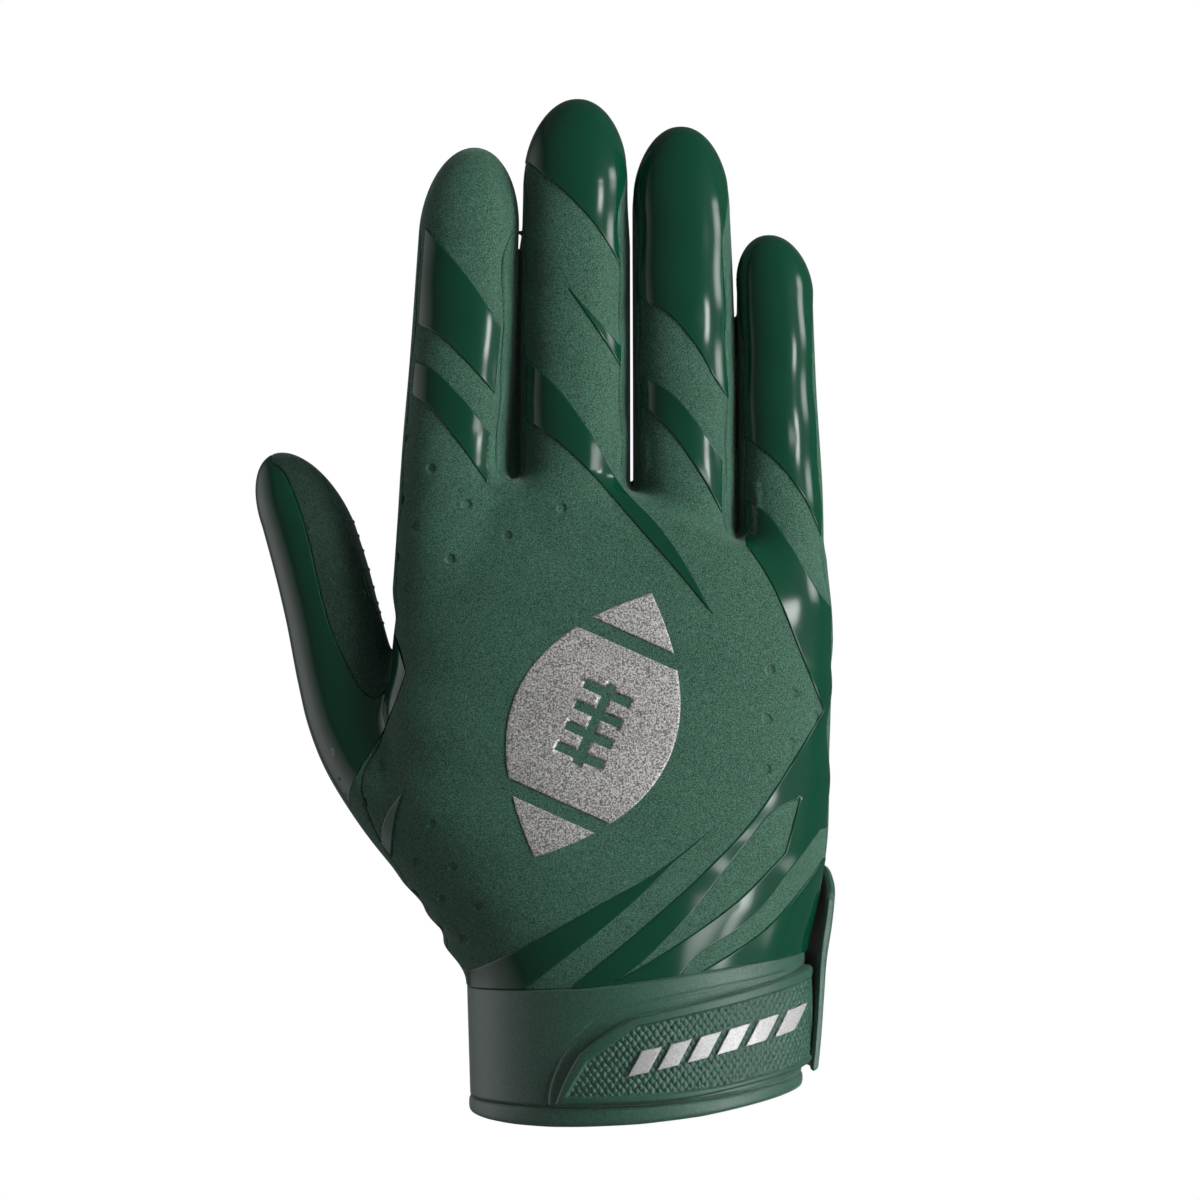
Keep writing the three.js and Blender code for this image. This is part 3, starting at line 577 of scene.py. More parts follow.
def surface_net(low, high, step):
    """Quads near the zero surface of the field in a box, as triangles"""
    axes = [np.arange(lo, hi + step, step) for lo, hi in zip(low, high)]
    x, y, z = axes
    values = field(x[:, None, None], y[None, :, None], z[None, None, :])
    inside = values < 0
    n = tuple(len(a) - 1 for a in axes)
    count = np.zeros(n, np.int8)
    for corner in np.ndindex(2, 2, 2):
        count += inside[tuple(slice(c, c + size) for c, size in zip(corner, n))]
    active = (count > 0) & (count < 8)
    index = np.full(n, -1)
    index[active] = np.arange(active.sum())
    i, j, k = np.nonzero(active)
    total, hits = np.zeros((len(i), 3)), np.zeros(len(i))
    for axis in range(3):
        for offset in np.ndindex(2, 2):
            c0 = np.insert(np.array(offset), axis, 0)
            c1 = c0.copy()
            c1[axis] = 1
            f0 = values[i + c0[0], j + c0[1], k + c0[2]]
            f1 = values[i + c1[0], j + c1[1], k + c1[2]]
            crossing = (f0 < 0) != (f1 < 0)
            t = np.where(crossing, f0 / np.where(crossing, f0 - f1, 1), 0)
            at_point = np.tile(c0.astype(float), (len(i), 1))
            at_point[:, axis] += t
            total += at_point * crossing[:, None]
            hits += crossing
    base = np.column_stack([i, j, k])
    v = np.array(low, float) + (base + total / hits[:, None]) * step
    triangles = []
    for axis in range(3):
        b, c = (axis + 1) % 3, (axis + 2) % 3
        first, second = [slice(1, -1)] * 3, [slice(1, -1)] * 3
        first[axis], second[axis] = slice(0, -1), slice(1, None)
        s0, s1 = inside[tuple(first)], inside[tuple(second)]
        where = np.array(np.nonzero(s0 != s1)).T
        outward = s0[tuple(where.T)]
        where[:, b] += 1
        where[:, c] += 1
        ring = []
        for db, dc in ((-1, -1), (0, -1), (0, 0), (-1, 0)):
            cell = where.copy()
            cell[:, b] += db
            cell[:, c] += dc
            ring.append(index[cell[:, 0], cell[:, 1], cell[:, 2]])
        q = np.column_stack(ring)
        q = np.where(outward[:, None], q, q[:, ::-1])
        triangles += [q[:, [0, 1, 2]], q[:, [0, 2, 3]]]
    return settled(v), np.concatenate(triangles)


def cut(v, f, measure, across, keep=False):
    """Cuts a mesh on the form where `measure` passes 0 and settles the new points along the cut"""
    verts, faces, new = sliced(v, f, measure(v), keep)
    if new.any():
        verts[new] = settled(verts[new], across(verts[new]))
    return compact(verts, faces)


def terraced(v, f, measure, across, levels):
    """Adds rows of points along level lines of a measure, which carry the relief near an edge"""
    for level in levels:
        v, f = cut(v, f, lambda p: measure(p) - level, across, keep=True)
    return v, f


def everywhere(direction):
    """The same direction at every point"""
    return lambda p: np.tile(direction, (len(p), 1))


up_down = everywhere([0.0, 0.0, 1.0])
across_x = everywhere([1.0, 0.0, 0.0])


def slope_of(measure):
    """The direction in which a measure grows"""
    return lambda p: unit(gradient(measure, p, 0.05))


def above_front_seam(p):
    return -front_seam(p[:, 0], p[:, 2]) - p[:, 1]


across_front_seam = slope_of(above_front_seam)


def behind_rear_seam(p):
    return p[:, 1] - rear_seam(p[:, 0], p[:, 2])


def before_thumb_seam(p):
    return thumb_seam(p[:, 0], p[:, 2]) - p[:, 1]


def seam_relief(measure, width, drop):
    """Rounds the form down towards the line where the measure is 0"""
    across = slope_of(measure)
    return lambda p: rounding(np.maximum(measure(p), 0), across(p), width, drop)


def to_line(p, line, closed=True):
    """Distance of points from a line in X and Z, with its direction in space"""
    d, way = edge_distance(line, p[:, 0], p[:, 2], closed)
    return d, np.column_stack([way[:, 0], np.zeros(len(way)), way[:, 1]])


def from_edge(line):
    """Functions for the distance inside an outline, and for its direction"""
    return lambda p: to_line(p, line)[0], lambda p: to_line(p, line)[1]


# Relief: heights over the form with their slopes in space

def rounding(d, way, width, drop):
    """Rounds an edge down by `drop` over its last `width`"""
    t = np.clip(1 - d / width, 0, 0.985)
    root = np.sqrt(1 - t * t)
    h = -drop * (1 - root)
    slope = np.where(d < width, drop * t / root / width, 0)
    return h, way * slope[:, None]


def furrow(d, way, width, depth):
    """A groove of that half width and depth along a line, or a bead if the depth is below 0"""
    bell = np.exp(-((d / width) ** 2))
    return -depth * bell, way * (2 * depth * d / width**2 * bell)[:, None]


def together(*parts):
    """The sum of several reliefs"""
    return sum(h for h, g in parts), sum(g for h, g in parts)


def dimples(p):
    """Small round pits with flat floors"""
    h, g = np.zeros(len(p)), np.zeros((len(p), 3))
    for cx, cz in DIMPLES:
        away = (p - [cx, 0, cz]) * [1, 0, 1]
        d = np.linalg.norm(away, axis=1)
        near = d < DIMPLE_RADIUS
        t = d[near] / DIMPLE_RADIUS
        h[near] -= DIMPLE_DEPTH * (1 - t**6) ** 2
        slope = DIMPLE_DEPTH * 12 * t**5 * (1 - t**6) / DIMPLE_RADIUS
        g[near] += slope[:, None] * unit(away[near])
    return h, g


# Blender pieces

def add_piece(name, v, f, corner_normals, finish):
    """A piece from points in millimetres, triangles and a normal for each of their corners"""
    material, slot = finish
    mesh = bpy.data.meshes.new(name)
    mesh.vertices.add(len(v))
    mesh.vertices.foreach_set("co", (v * MM).ravel())
    mesh.loops.add(f.size)
    mesh.loops.foreach_set("vertex_index", f.ravel())
    mesh.polygons.add(len(f))
    mesh.polygons.foreach_set("loop_start", np.arange(0, f.size, 3))
    mesh.polygons.foreach_set("use_smooth", np.ones(len(f), bool))
    mesh.update(calc_edges=True)
    mesh.normals_split_custom_set(corner_normals)
    mesh.materials.append(material)
    piece = bpy.data.objects.new(name, mesh)
    bpy.context.scene.collection.objects.link(piece)
    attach(piece, "root")
    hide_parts(name)


def facing_of(corners):
    """Vectors square to triangles"""
    return np.cross(corners[:, 1] - corners[:, 0], corners[:, 2] - corners[:, 0])


def closed_piece(name, v, f, normals, relief, thick, finish):
    """Turns a sheet outwards, moves it by its relief and gives it a thickness inwards"""
    wrong = (facing_of(v[f]) * normals[f].sum(1)).sum(1) < 0
    f = np.where(wrong[:, None], f[:, ::-1], f)
    heights, slopes = relief
    lean = slopes - (slopes * normals).sum(1, keepdims=True) * normals
    top_normals = unit(normals - lean)
    verts = np.vstack([v + heights[:, None] * normals, v - thick * normals])
    n = len(v)
    half_edges = np.concatenate([f[:, [0, 1]], f[:, [1, 2]], f[:, [2, 0]]])
    forward = half_edges[:, 0] * n + half_edges[:, 1]
    backward = half_edges[:, 1] * n + half_edges[:, 0]
    a, b = half_edges[~np.isin(forward, backward)].T
    walls = np.concatenate([np.column_stack([b, a, a + n]), np.column_stack([b, a + n, b + n])])
    corner_normals = np.concatenate([
        top_normals[f].reshape(-1, 3), -normals[f[:, ::-1]].reshape(-1, 3),
        np.repeat(unit(facing_of(verts[walls])), 3, axis=0),
    ])
    add_piece(name, verts, np.concatenate([f, f[:, ::-1] + n, walls]), corner_normals, finish)


def formed_piece(name, v, f, relief, thick, finish):
    """A piece of the hand's form"""
    closed_piece(name, v, f, unit(gradient(field_at, v)), relief(v), thick, finish)


def add_smooth(name, v, f, finish, sharp=50):
    """A piece shaded smoothly but for its sharp edges"""
    facing = facing_of(v[f])
    flat = unit(facing)
    point = np.zeros_like(v)
    for i in range(3):
        np.add.at(point, f[:, i], facing)
    corner = unit(point)[f]
    hard = (corner * flat[:, None, :]).sum(2) < math.cos(math.radians(sharp))
    corner[hard] = np.repeat(flat[:, None, :], 3, axis=1)[hard]
    add_piece(name, v, f, corner.reshape(-1, 3), finish)


# Sheets

def hexagons(low, high, step):
    """Evenly spaced points over a rectangle"""
    rise = step * math.sqrt(3) / 2
    xs = np.arange(low[0], high[0], step)
    zs = np.arange(low[1], high[1], rise)
    return np.array([(x + (k % 2) * step / 2, z) for k, z in enumerate(zs) for x in xs])


def rows_inside(loop, offsets):
    """Points at set distances inside an outline"""
    loop = np.asarray(loop)
    way = np.roll(loop, -1, 0) - np.roll(loop, 1, 0)
    way = way / np.maximum(np.linalg.norm(way, axis=1, keepdims=True), 1e-9)
    side = np.column_stack([-way[:, 1], way[:, 0]])
    out = []
    for offset in offsets:
        for sign in (1, -1):
            p = loop + side * offset * sign
            d = edge_distance(loop, p[:, 0], p[:, 1])[0]
            out.append(p[np.abs(d - offset) < 0.05 * offset + 0.005])
    return np.vstack(out)


def within(loops, points, reach=0.0):
    """Whether points lie inside the first outline and outside the others, each by more than `reach`"""
    keep = edge_distance(loops[0], points[:, 0], points[:, 1])[0] > reach
    for loop in loops[1:]:
        keep &= edge_distance(loop, points[:, 0], points[:, 1])[0] < -reach
    return keep


def flat_sheet(loops, step, offsets, extra=None, near=None):
    """Even points in a plane with rows beside their outline, and the triangles between them"""
    points = hexagons(loops[0].min(0), loops[0].max(0), step)
    keep = within(loops, points, max(offsets) + 0.35 * step)
    if near is not None:
        keep &= near(points)
    parts = [points[keep], rows_inside(loops[0], offsets)]
    if extra is not None:
        parts.append(extra)
    v, f = triangulated(np.vstack(parts), loops)
    return v, f[within(loops, v[f].mean(1))]


def edge_height(edge, x):
    """Height of one of the cuff's edges at X"""
    return np.interp(x, *zip(*edge))


def front_sheet(loops, step, offsets, extra=None, low_edge=0.0):
    """A fine sheet over the front of the form inside outlines, cut at the seam and above the cuff"""
    def near_form(q):
        return field(q[:, 0], -front_seam(q[:, 0], q[:, 1]), q[:, 1]) < 2

    v, f = flat_sheet(loops, step * COARSE, offsets, extra, near_form)
    v = np.column_stack([v[:, 0], -front_seam(v[:, 0], v[:, 1]), v[:, 1]])
    v, f, at_seam = sliced(v, f, -field_at(v), False)
    if at_seam.any():
        v[at_seam] = settled(v[at_seam], across_front_seam(v[at_seam]))
    v, f, at_seam = compact(v, f, at_seam)
    v, f, new = sliced(v, f, v[:, 2] - edge_height(CUFF_TOP, v[:, 0]) - low_edge, False)
    at_seam = np.concatenate([at_seam, np.zeros(len(v) - len(at_seam), bool)])
    v, f, at_seam = compact(v, f, at_seam)
    up = lifted(v[:, [0, 2]])
    up[at_seam] = v[at_seam]
    return terraced(up, f, above_front_seam, across_front_seam, FRONT_ROWS)


# Finishes: a material paired with the name of a slot

def grained(name, slot, colours, grain, depth, sockets, steps=(0.40, 0.62), strength=1.0):
    """A finish with a fine grain, given by its scale, detail and roughness, which mixes two colours"""
    made = bpy.data.materials.new(name)
    made.use_nodes = True
    tree = made.node_tree
    shader = tree.nodes["Principled BSDF"]
    place = tree.nodes.new("ShaderNodeTexCoord")
    noise = tree.nodes.new("ShaderNodeTexNoise")
    for socket, value in zip(("Scale", "Detail", "Roughness"), grain):
        noise.inputs[socket].default_value = value
    tree.links.new(place.outputs["Object"], noise.inputs["Vector"])
    if colours:
        ramp = tree.nodes.new("ShaderNodeValToRGB")
        for element, step, colour in zip(ramp.color_ramp.elements, steps, colours):
            element.position = step
            element.color = (*colour, 1)
        tree.links.new(noise.outputs["Fac"], ramp.inputs["Fac"])
        tree.links.new(ramp.outputs["Color"], shader.inputs["Base Color"])
    for socket, value in sockets.items():
        shader.inputs[socket].default_value = value
    bump = tree.nodes.new("ShaderNodeBump")
    bump.inputs["Distance"].default_value = depth * MM
    bump.inputs["Strength"].default_value = strength
    tree.links.new(noise.outputs["Fac"], bump.inputs["Height"])
    tree.links.new(bump.outputs["Normal"], shader.inputs["Normal"])
    return made, slot


def cloth(name, slot, dark, light, grain, depth, roughness, sheen, tint, specular=0.3, coat=0.0):
    """Cloth or soft rubber, with a fuzz of its own tint and perhaps a soft coat"""
    sockets = {"Roughness": roughness, "Specular IOR Level": specular, "Coat Weight": coat,
               "Coat Roughness": 0.42, "Sheen Weight": sheen, "Sheen Roughness": 0.45,
               "Sheen Tint": (*tint, 1)}
    return grained(name, slot, (dark, light), (grain, 3.0, 0.6), depth, sockets)


def silver(name, dark, light, metal, grain, depth):
    """Silver print with a speckle"""
    sockets = {"Metallic": metal, "Roughness": 0.42}
    return grained(name, "silver_print", (dark, light), (grain, 2.0, 0.7), depth, sockets, (0.40, 0.60))


# The cuff's own frame: distance round it from the front middle, height, and distance outside it

ARC_TURNS = np.linspace(-math.pi, math.pi, 1441)
ARC_STEPS = np.hypot(CUFF_TOP_HALF * np.cos(ARC_TURNS), CUFF_DEPTH * np.sin(ARC_TURNS))
ARC_LENGTHS = np.concatenate([[0], np.cumsum((ARC_STEPS[1:] + ARC_STEPS[:-1]) / 2 * np.diff(ARC_TURNS))])
ARC_LENGTHS -= ARC_LENGTHS[720]


def cuff_half(z):
    """Half the cuff's width at a height"""
    share = np.clip((z - CUFF_LOW_Z) / (CUFF_HIGH_Z - CUFF_LOW_Z), 0, 1.2)
    return CUFF_LOW_HALF + (CUFF_TOP_HALF - CUFF_LOW_HALF) * share


def cuff_frame(s, z, out):
    """A point on the cuff with its outward direction"""
    turn = np.interp(s, ARC_LENGTHS, ARC_TURNS)
    half = cuff_half(z)
    normal = unit(np.column_stack([np.sin(turn) / half, -np.cos(turn) / CUFF_DEPTH, np.zeros(len(turn))]))
    p = np.column_stack([CUFF_X + half * np.sin(turn), -CUFF_DEPTH * np.cos(turn), z])
    return p + normal * np.asarray(out)[:, None], normal


def on_cuff(outline):
    """An outline seen from the front, as distances round the cuff and heights"""
    x, z = np.array(outline, float).T
    turn = np.arcsin(np.clip((x - CUFF_X) / cuff_half(z), -1, 1))
    return np.column_stack([np.interp(turn, ARC_TURNS, ARC_LENGTHS), z])


def ring_piece(name, profile, low_edge, high_edge, around, relief=None):
    """A closed band round the cuff from a profile of (share from low to high edge, lift, distance outside)"""
    around = int(around / COARSE)
    s = np.linspace(ARC_LENGTHS[0], ARC_LENGTHS[-1], around, endpoint=False)
    x = CUFF_X + CUFF_TOP_HALF * np.sin(np.interp(s, ARC_LENGTHS, ARC_TURNS))
    low, high = edge_height(low_edge, x), edge_height(high_edge, x)
    rows = []
    for share, lift, out in profile:
        height = low + (high - low) * share + lift
        push = np.full(around, float(out))
        if relief is not None and out > -0.3:
            push = push + relief(s, height)
        rows.append(cuff_frame(s, height, push)[0])
    i = np.arange(around)
    j = (i + 1) % around
    faces = []
    for k in range(len(profile)):
        a, b = k * around, ((k + 1) % len(profile)) * around
        faces += [np.column_stack([a + i, a + j, b + j]), np.column_stack([a + i, b + j, b + i])]
    add_smooth(name, np.vstack(rows), np.concatenate(faces), CUFF_FINISH)


def cuff_sheet(name, outline, step, offsets, height, thick, finish):
    """A sheet on the cuff inside an outline in its own frame; `height` gives distance outside"""
    v, f = flat_sheet([outline], step * COARSE, offsets)
    slope_s, slope_z = gradient(height, v, 0.02).T
    base, normal = cuff_frame(v[:, 0], v[:, 1], np.zeros(len(v)))
    along_cuff = np.column_stack([-normal[:, 1], normal[:, 0], np.zeros(len(normal))])
    slopes = along_cuff * slope_s[:, None] + np.array([0, 0, 1.0]) * slope_z[:, None]
    closed_piece(name, base, f, normal, (height(v), slopes), thick, finish)


# Build

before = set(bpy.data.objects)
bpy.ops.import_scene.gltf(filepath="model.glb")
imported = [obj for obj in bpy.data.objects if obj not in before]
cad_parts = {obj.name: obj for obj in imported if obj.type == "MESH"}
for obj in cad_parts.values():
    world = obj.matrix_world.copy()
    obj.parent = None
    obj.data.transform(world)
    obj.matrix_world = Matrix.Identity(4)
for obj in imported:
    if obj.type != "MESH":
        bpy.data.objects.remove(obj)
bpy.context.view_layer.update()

# Name, slot, dark and light colour, scale and depth of the grain, roughness, fuzz and its tint, shine, coat
PALE = (0.62, 0.72, 0.66)
MATTE = cloth("matte_fabric", "matte_fabric", (0.007, 0.043, 0.024), (0.066, 0.170, 0.115), 3800, 0.16, 0.7,
              0.3, PALE)
GUSSET = cloth("gusset_fabric", "matte_fabric", (0.004, 0.020, 0.012), (0.026, 0.072, 0.048), 3400, 0.14, 0.7,
               0.2, PALE)
CUFF_FINISH = cloth("cuff_fabric", "cuff_fabric", (0.012, 0.062, 0.038), (0.036, 0.116, 0.078), 2600, 0.08,
                    0.42, 0.35, (0.66, 0.72, 0.68), 0.6, 0.8)
GRIP = cloth("grip_palm", "grip_palm", (0.008, 0.045, 0.028), (0.018, 0.075, 0.047), 1500, 0.05, 0.4, 0.0,
             (1, 1, 1), 0.5)
RUBBER = cloth("strap_rubber", "strap_rubber", (0.014, 0.066, 0.042), (0.028, 0.095, 0.063), 2600, 0.04, 0.45,
               0.1, (0.5, 0.7, 0.6), 0.5, 0.8)
GLOSS = grained("gloss_facing", "gloss_facing", (), (90, 2.0, 0.4), 0.12,
                {"Base Color": (0.0019, 0.047, 0.023, 1), "Roughness": 0.16, "Coat Weight": 0.35,
                 "Coat Roughness": 0.04}, strength=0.5)
# Name, dark and light colour, metal, scale and depth of the grain
SILVER = silver("silver_print", (0.17, 0.165, 0.16), (0.86, 0.84, 0.82), 0.6, 2600, 0.05)
SILVER_BAR = silver("silver_bar", (0.44, 0.44, 0.44), (0.60, 0.60, 0.60), 0.35, 2300, 0.02)

# The back: one sheet from the fingertips to the cuff, without the thumb's region
back_seam = seam_relief(above_front_seam, *SEAM_ROUND)
thumb_line = spline(THUMB_LINE, closed=False, corner=THUMB_CORNER)
back_outline = filled(np.vstack([thumb_line + [THUMB_SLIT, 0], BACK_CORNERS]), 0.8)


def crotch_rim(x, z):
    """The line of the raised rim round the low end of the slot between two fingers"""
    right = [(0.7 * RIM_HALF, 1.1), (RIM_HALF, 4), (RIM_HALF, 12)]
    left = [(-side, up) for side, up in reversed(right)]
    return spline([(x + side, z + up) for side, up in left + [(0, 0)] + right], closed=False)


rim_lines = [crotch_rim(x, z) for x, z in CROTCHES]


def dimple_points():
    """Rings of points round the dimples"""
    rings = [np.array(DIMPLES)]
    for share in DIMPLE_RINGS:
        turns = np.arange(18) * math.pi / 9 + share
        ring = share * DIMPLE_RADIUS * np.column_stack([np.cos(turns), np.sin(turns)])
        rings += [ring + middle for middle in DIMPLES]
    return np.vstack(rings)


def back_relief(p):
    rims = [furrow(*to_line(p, line, False), RIM_WIDE, -RIM_TALL) for line in rim_lines]
    thumb_edge = rounding(*to_line(p, thumb_line, False), *EDGE_ROUND)
    return together(back_seam(p), dimples(p), *rims, thumb_edge)


v, f = front_sheet([back_outline], *BACK_MESH, dimple_points(), low_edge=CUFF_SLIT)
formed_piece("back_panel", v, f, back_relief, WALL, MATTE)

# The gloss facings
for name, outline in FACINGS.items():
    loop = spline(outline, corner=FACING_CORNER)

    def facing_relief(p):
        edge = to_line(p, loop)
        seam = above_front_seam(p), across_front_seam(p)
        nearer = (edge[0] < seam[0])[:, None]
        d = np.maximum(np.minimum(edge[0], seam[0]), 0)
        h, g = rounding(d, np.where(nearer, edge[1], seam[1]), FACING_ROUND, FACING_RAISE + 0.05)
        return h + FACING_RAISE, g

    v, f = front_sheet([loop], *FACING_MESH, low_edge=CUFF_SLIT)
    formed_piece(name, v, f, facing_relief, FILM, GLOSS)


# The football
def ball_side(low, high):
    """The ball's outline between two places along it"""
    reach = BALL_LENGTH / 2
    along = np.linspace(low, high, 41)
    wide = BALL_WIDTH / 2 * (1 - (along / reach) ** 2)
    right = np.column_stack([wide, along])
    left = np.column_stack([-wide, along])[::-1]
    if high >= reach:
        left = left[1:]
    return np.vstack([right, left])


def ball_place(points):
    """Turns an outline by the ball's lean and moves it onto the back"""
    lean = math.radians(BALL_LEAN)
    p = np.asarray(points, float)
    return np.column_stack([BALL_X + p[:, 0] * math.cos(lean) - p[:, 1] * math.sin(lean),
                            BALL_Z + p[:, 0] * math.sin(lean) + p[:, 1] * math.cos(lean)])


def lace_outline():
    """The outline of the laces: a spine with four short bars across it"""
    w, half_long, half_spine = LACE_WIDE / 2, LACE_LONG / 2, LACE_SPINE / 2
    right = [(w, -half_spine)]
    for i in range(LACE_COUNT):
        z = (i - (LACE_COUNT - 1) / 2) * LACE_PITCH
        right += [(w, z - w), (half_long, z - w), (half_long, z + w), (w, z + w)]
    right.append((w, half_spine))
    left = [(-x, z) for x, z in reversed(right)]
    return np.array(right + left)


band_end = BALL_BAND_FROM + BALL_BAND_WIDTH
upper_end = ball_side(band_end, BALL_LENGTH / 2)
ball_parts = {
    "ball_middle": [ball_side(-BALL_BAND_FROM, BALL_BAND_FROM), lace_outline()],
    "ball_upper_end": [upper_end],
    "ball_lower_end": [-upper_end],
}
for name, parts in ball_parts.items():
    loops = [filled(ball_place(part)) for part in parts]

    def ball_relief(p):
        d, way = to_line(p, loops[0])
        for loop in loops[1:]:
            other, other_way = to_line(p, loop)
            nearer = (-other < d)[:, None]
            d = np.minimum(d, -other)
            way = np.where(nearer, -other_way, way)
        h, g = rounding(np.maximum(d, 0), way, *PRINT_ROUND)
        return h + PRINT_RAISE, g

    v, f = front_sheet(loops, *BALL_MESH)
    formed_piece(name, v, f, ball_relief, FILM, SILVER)


# The thumb
v, f = surface_net((-96, -12, 62), (-38, 30, 155), THUMB_STEP * COARSE)
region_measure, region_across = from_edge(filled(np.array(THUMB_REGION), 1.0))
thumb_v, thumb_f = cut(v, f, region_measure, region_across)
gusset_measure, gusset_across = from_edge(spline(GUSSET_OUTLINE, corner=GUSSET_CORNER))
across_thumb_seam = slope_of(before_thumb_seam)
thumb_seam_relief = seam_relief(before_thumb_seam, *THUMB_ROUND)
front_v, front_f = cut(thumb_v, thumb_f, before_thumb_seam, across_thumb_seam)
front_v, front_f = terraced(front_v, front_f, before_thumb_seam, across_thumb_seam, SIDE_ROWS)

for name, sign, finish in (("thumb_gusset", 1, GUSSET), ("thumb_back", -1, GLOSS)):
    def inside_edge(p):
        return sign * gusset_measure(p)

    def thumb_relief(p):
        edge = rounding(np.maximum(inside_edge(p), 0), sign * gusset_across(p), *EDGE_ROUND)
        return together(thumb_seam_relief(p), edge)

    v, f = cut(front_v, front_f, inside_edge, gusset_across)
    v, f = terraced(v, f, inside_edge, gusset_across, GUSSET_ROWS)
    formed_piece(name, v, f, thumb_relief, WALL, finish)


def behind_thumb_seam(p):
    return -before_thumb_seam(p) - SLIT


v, f = cut(thumb_v, thumb_f, behind_thumb_seam, across_thumb_seam)
v, f = terraced(v, f, behind_thumb_seam, across_thumb_seam, SIDE_ROWS)
rib_rows = [rib + side for rib in RIBS for side in (-RIB_SIDE, 0, RIB_SIDE)]
v, f = terraced(v, f, lambda p: p[:, 2], up_down, rib_rows)
grip_seam = seam_relief(behind_thumb_seam, *THUMB_ROUND)


def grip_relief(p):
    fade = ease((p[:, 0] - middle_of("thumb", p[:, 2]) - RIB_FROM) / RIB_FADE)
    ribs = together(*[furrow(p[:, 2] - rib, up_down(p), RIB_HALF, -RIB_TALL) for rib in RIBS])
    return together(grip_seam(p), (ribs[0] * fade, ribs[1] * fade[:, None]))


formed_piece("thumb_grip", v, f, grip_relief, WALL, GRIP)


# The palm, and the strips between back and palm
def above_cuff(p):
    return p[:, 2] - edge_height(CUFF_TOP, p[:, 0]) - CUFF_SLIT


def in_strip(p):
    return np.minimum(-above_front_seam(p), -behind_rear_seam(p)) - SLIT


def hand_part(low, high, step, measure, levels):
    """The part of the form where a measure is above 0, without the thumb's region, above the cuff"""
    across = slope_of(measure)
    v, f = cut(*surface_net(low, high, step * COARSE), measure, across)
    v, f = cut(v, f, lambda p: -region_measure(p) - SLIT, region_across)
    v, f = cut(v, f, above_cuff, up_down)
    return (*terraced(v, f, measure, across, levels), seam_relief(measure, *SEAM_ROUND))


v, f, palm_relief = hand_part((-70, 2, 26), (50, 30, 234), PALM_STEP, behind_rear_seam, PALM_ROWS)
formed_piece("palm_panel", v, f, palm_relief, WALL, GRIP)

v, f, strip_relief = hand_part((-70, -9, 26), (50, 14, 234), SIDE_STEP, in_strip, SIDE_ROWS)
STRIPS = ["index_side_strip", "fourchette_index_middle", "fourchette_middle_ring", "fourchette_ring_little",
          "little_side_strip"]
for number, name in enumerate(STRIPS):
    part = v, f
    if number > 0:
        left = FINGERS[number - 1]
        part = cut(*part, lambda p: p[:, 0] - middle_of(left, p[:, 2]) - STRIP_SLIT, across_x)
    if number < len(FINGERS):
        right = FINGERS[number]
        part = cut(*part, lambda p: middle_of(right, p[:, 2]) - STRIP_SLIT - p[:, 0], across_x)
    if number == 0:
        low = part[0][part[1]].mean(1)[:, 2] < WRIST_STRIP_TOP
        formed_piece("wrist_side_strip", *compact(part[0], part[1][low]), strip_relief, WALL, MATTE)
        part = compact(part[0], part[1][~low])
    formed_piece(name, *part, strip_relief, WALL, MATTE)

# The cuff and its hem
landing = on_cuff(spline(LANDING, closed=False))


def cuff_relief(s, z):
    d, _ = edge_distance(landing, s, z, False)
    return -LANDING_GROOVE * np.exp(-((d / LANDING_GROOVE) ** 2))


cuff_profile = []
for share in np.linspace(0, 1, int(CUFF_RISE_ROWS / COARSE)):
    edge = min(share, 1 - share) * (CUFF_HIGH_Z - CUFF_LOW_Z)
    drop = CUFF_EDGE_DROP * (1 - math.sqrt(1 - max(0, 1 - edge / CUFF_EDGE_ROUND) ** 2))
    cuff_profile.append((share, 0, -drop))
cuff_profile += [(1, 0, -1.2), (1, -0.3, -CUFF_WALL + 0.3), (1, -1, -CUFF_WALL), (0, 0.1, -CUFF_WALL)]
ring_piece("cuff", cuff_profile, HEM_TOP, CUFF_TOP, CUFF_AROUND, cuff_relief)

hem_profile = []
for turn in np.radians(np.arange(0, 360, 10)):
    up, out = math.sin(turn), math.cos(turn)
    square = (abs(up) ** HEM_POWER + abs(out) ** HEM_POWER) ** (-1 / HEM_POWER)
    reach = CUFF_WALL / 2 + HEM_PROUD
    hem_profile.append((0.5 + 0.5 * up * square, 0, -CUFF_WALL / 2 + 0.05 + reach * out * square))
ring_piece("cuff_hem", hem_profile, HEM_LOW, HEM_TOP, HEM_AROUND)

# The closure strap: a plate with a raised rim round a field of scales
strap_end = np.interp(math.radians(STRAP_TURN), ARC_TURNS, ARC_LENGTHS)


def with_tail(line, low, high):
    """Runs an outline on round the side of the cuff to the strap's far end"""
    line = on_cuff(line)
    top = max(range(len(line)), key=lambda i: (line[i, 0], line[i, 1]))
    return np.vstack([line[:top + 1], [(strap_end, high), (strap_end, low)], line[top + 1:]])


strap_loop = spline(with_tail(STRAP_OUTLINE, *STRAP_FAR), corner=STRAP_CORNER)
field_loop = spline(with_tail(FIELD_OUTLINE, *FIELD_FAR), corner=FIELD_CORNER)


def scale_height(s, z):
    """Overlapping upright scales in staggered rows, from 0 in the lines between them to 1"""
    best = np.zeros(len(s))
    row = np.round(z / SCALE_ROW)
    for near in (-1, 0, 1):
        k = row + near
        u = s / SCALE_WIDE + (k % 2) * 0.5
        du = (u - np.round(u)) * 2
        dw = (z - k * SCALE_ROW) / SCALE_TALL
        r = du * du + dw * dw
        best = np.maximum(best, np.sqrt(np.clip(1 - r, 0, 1)))
    return best


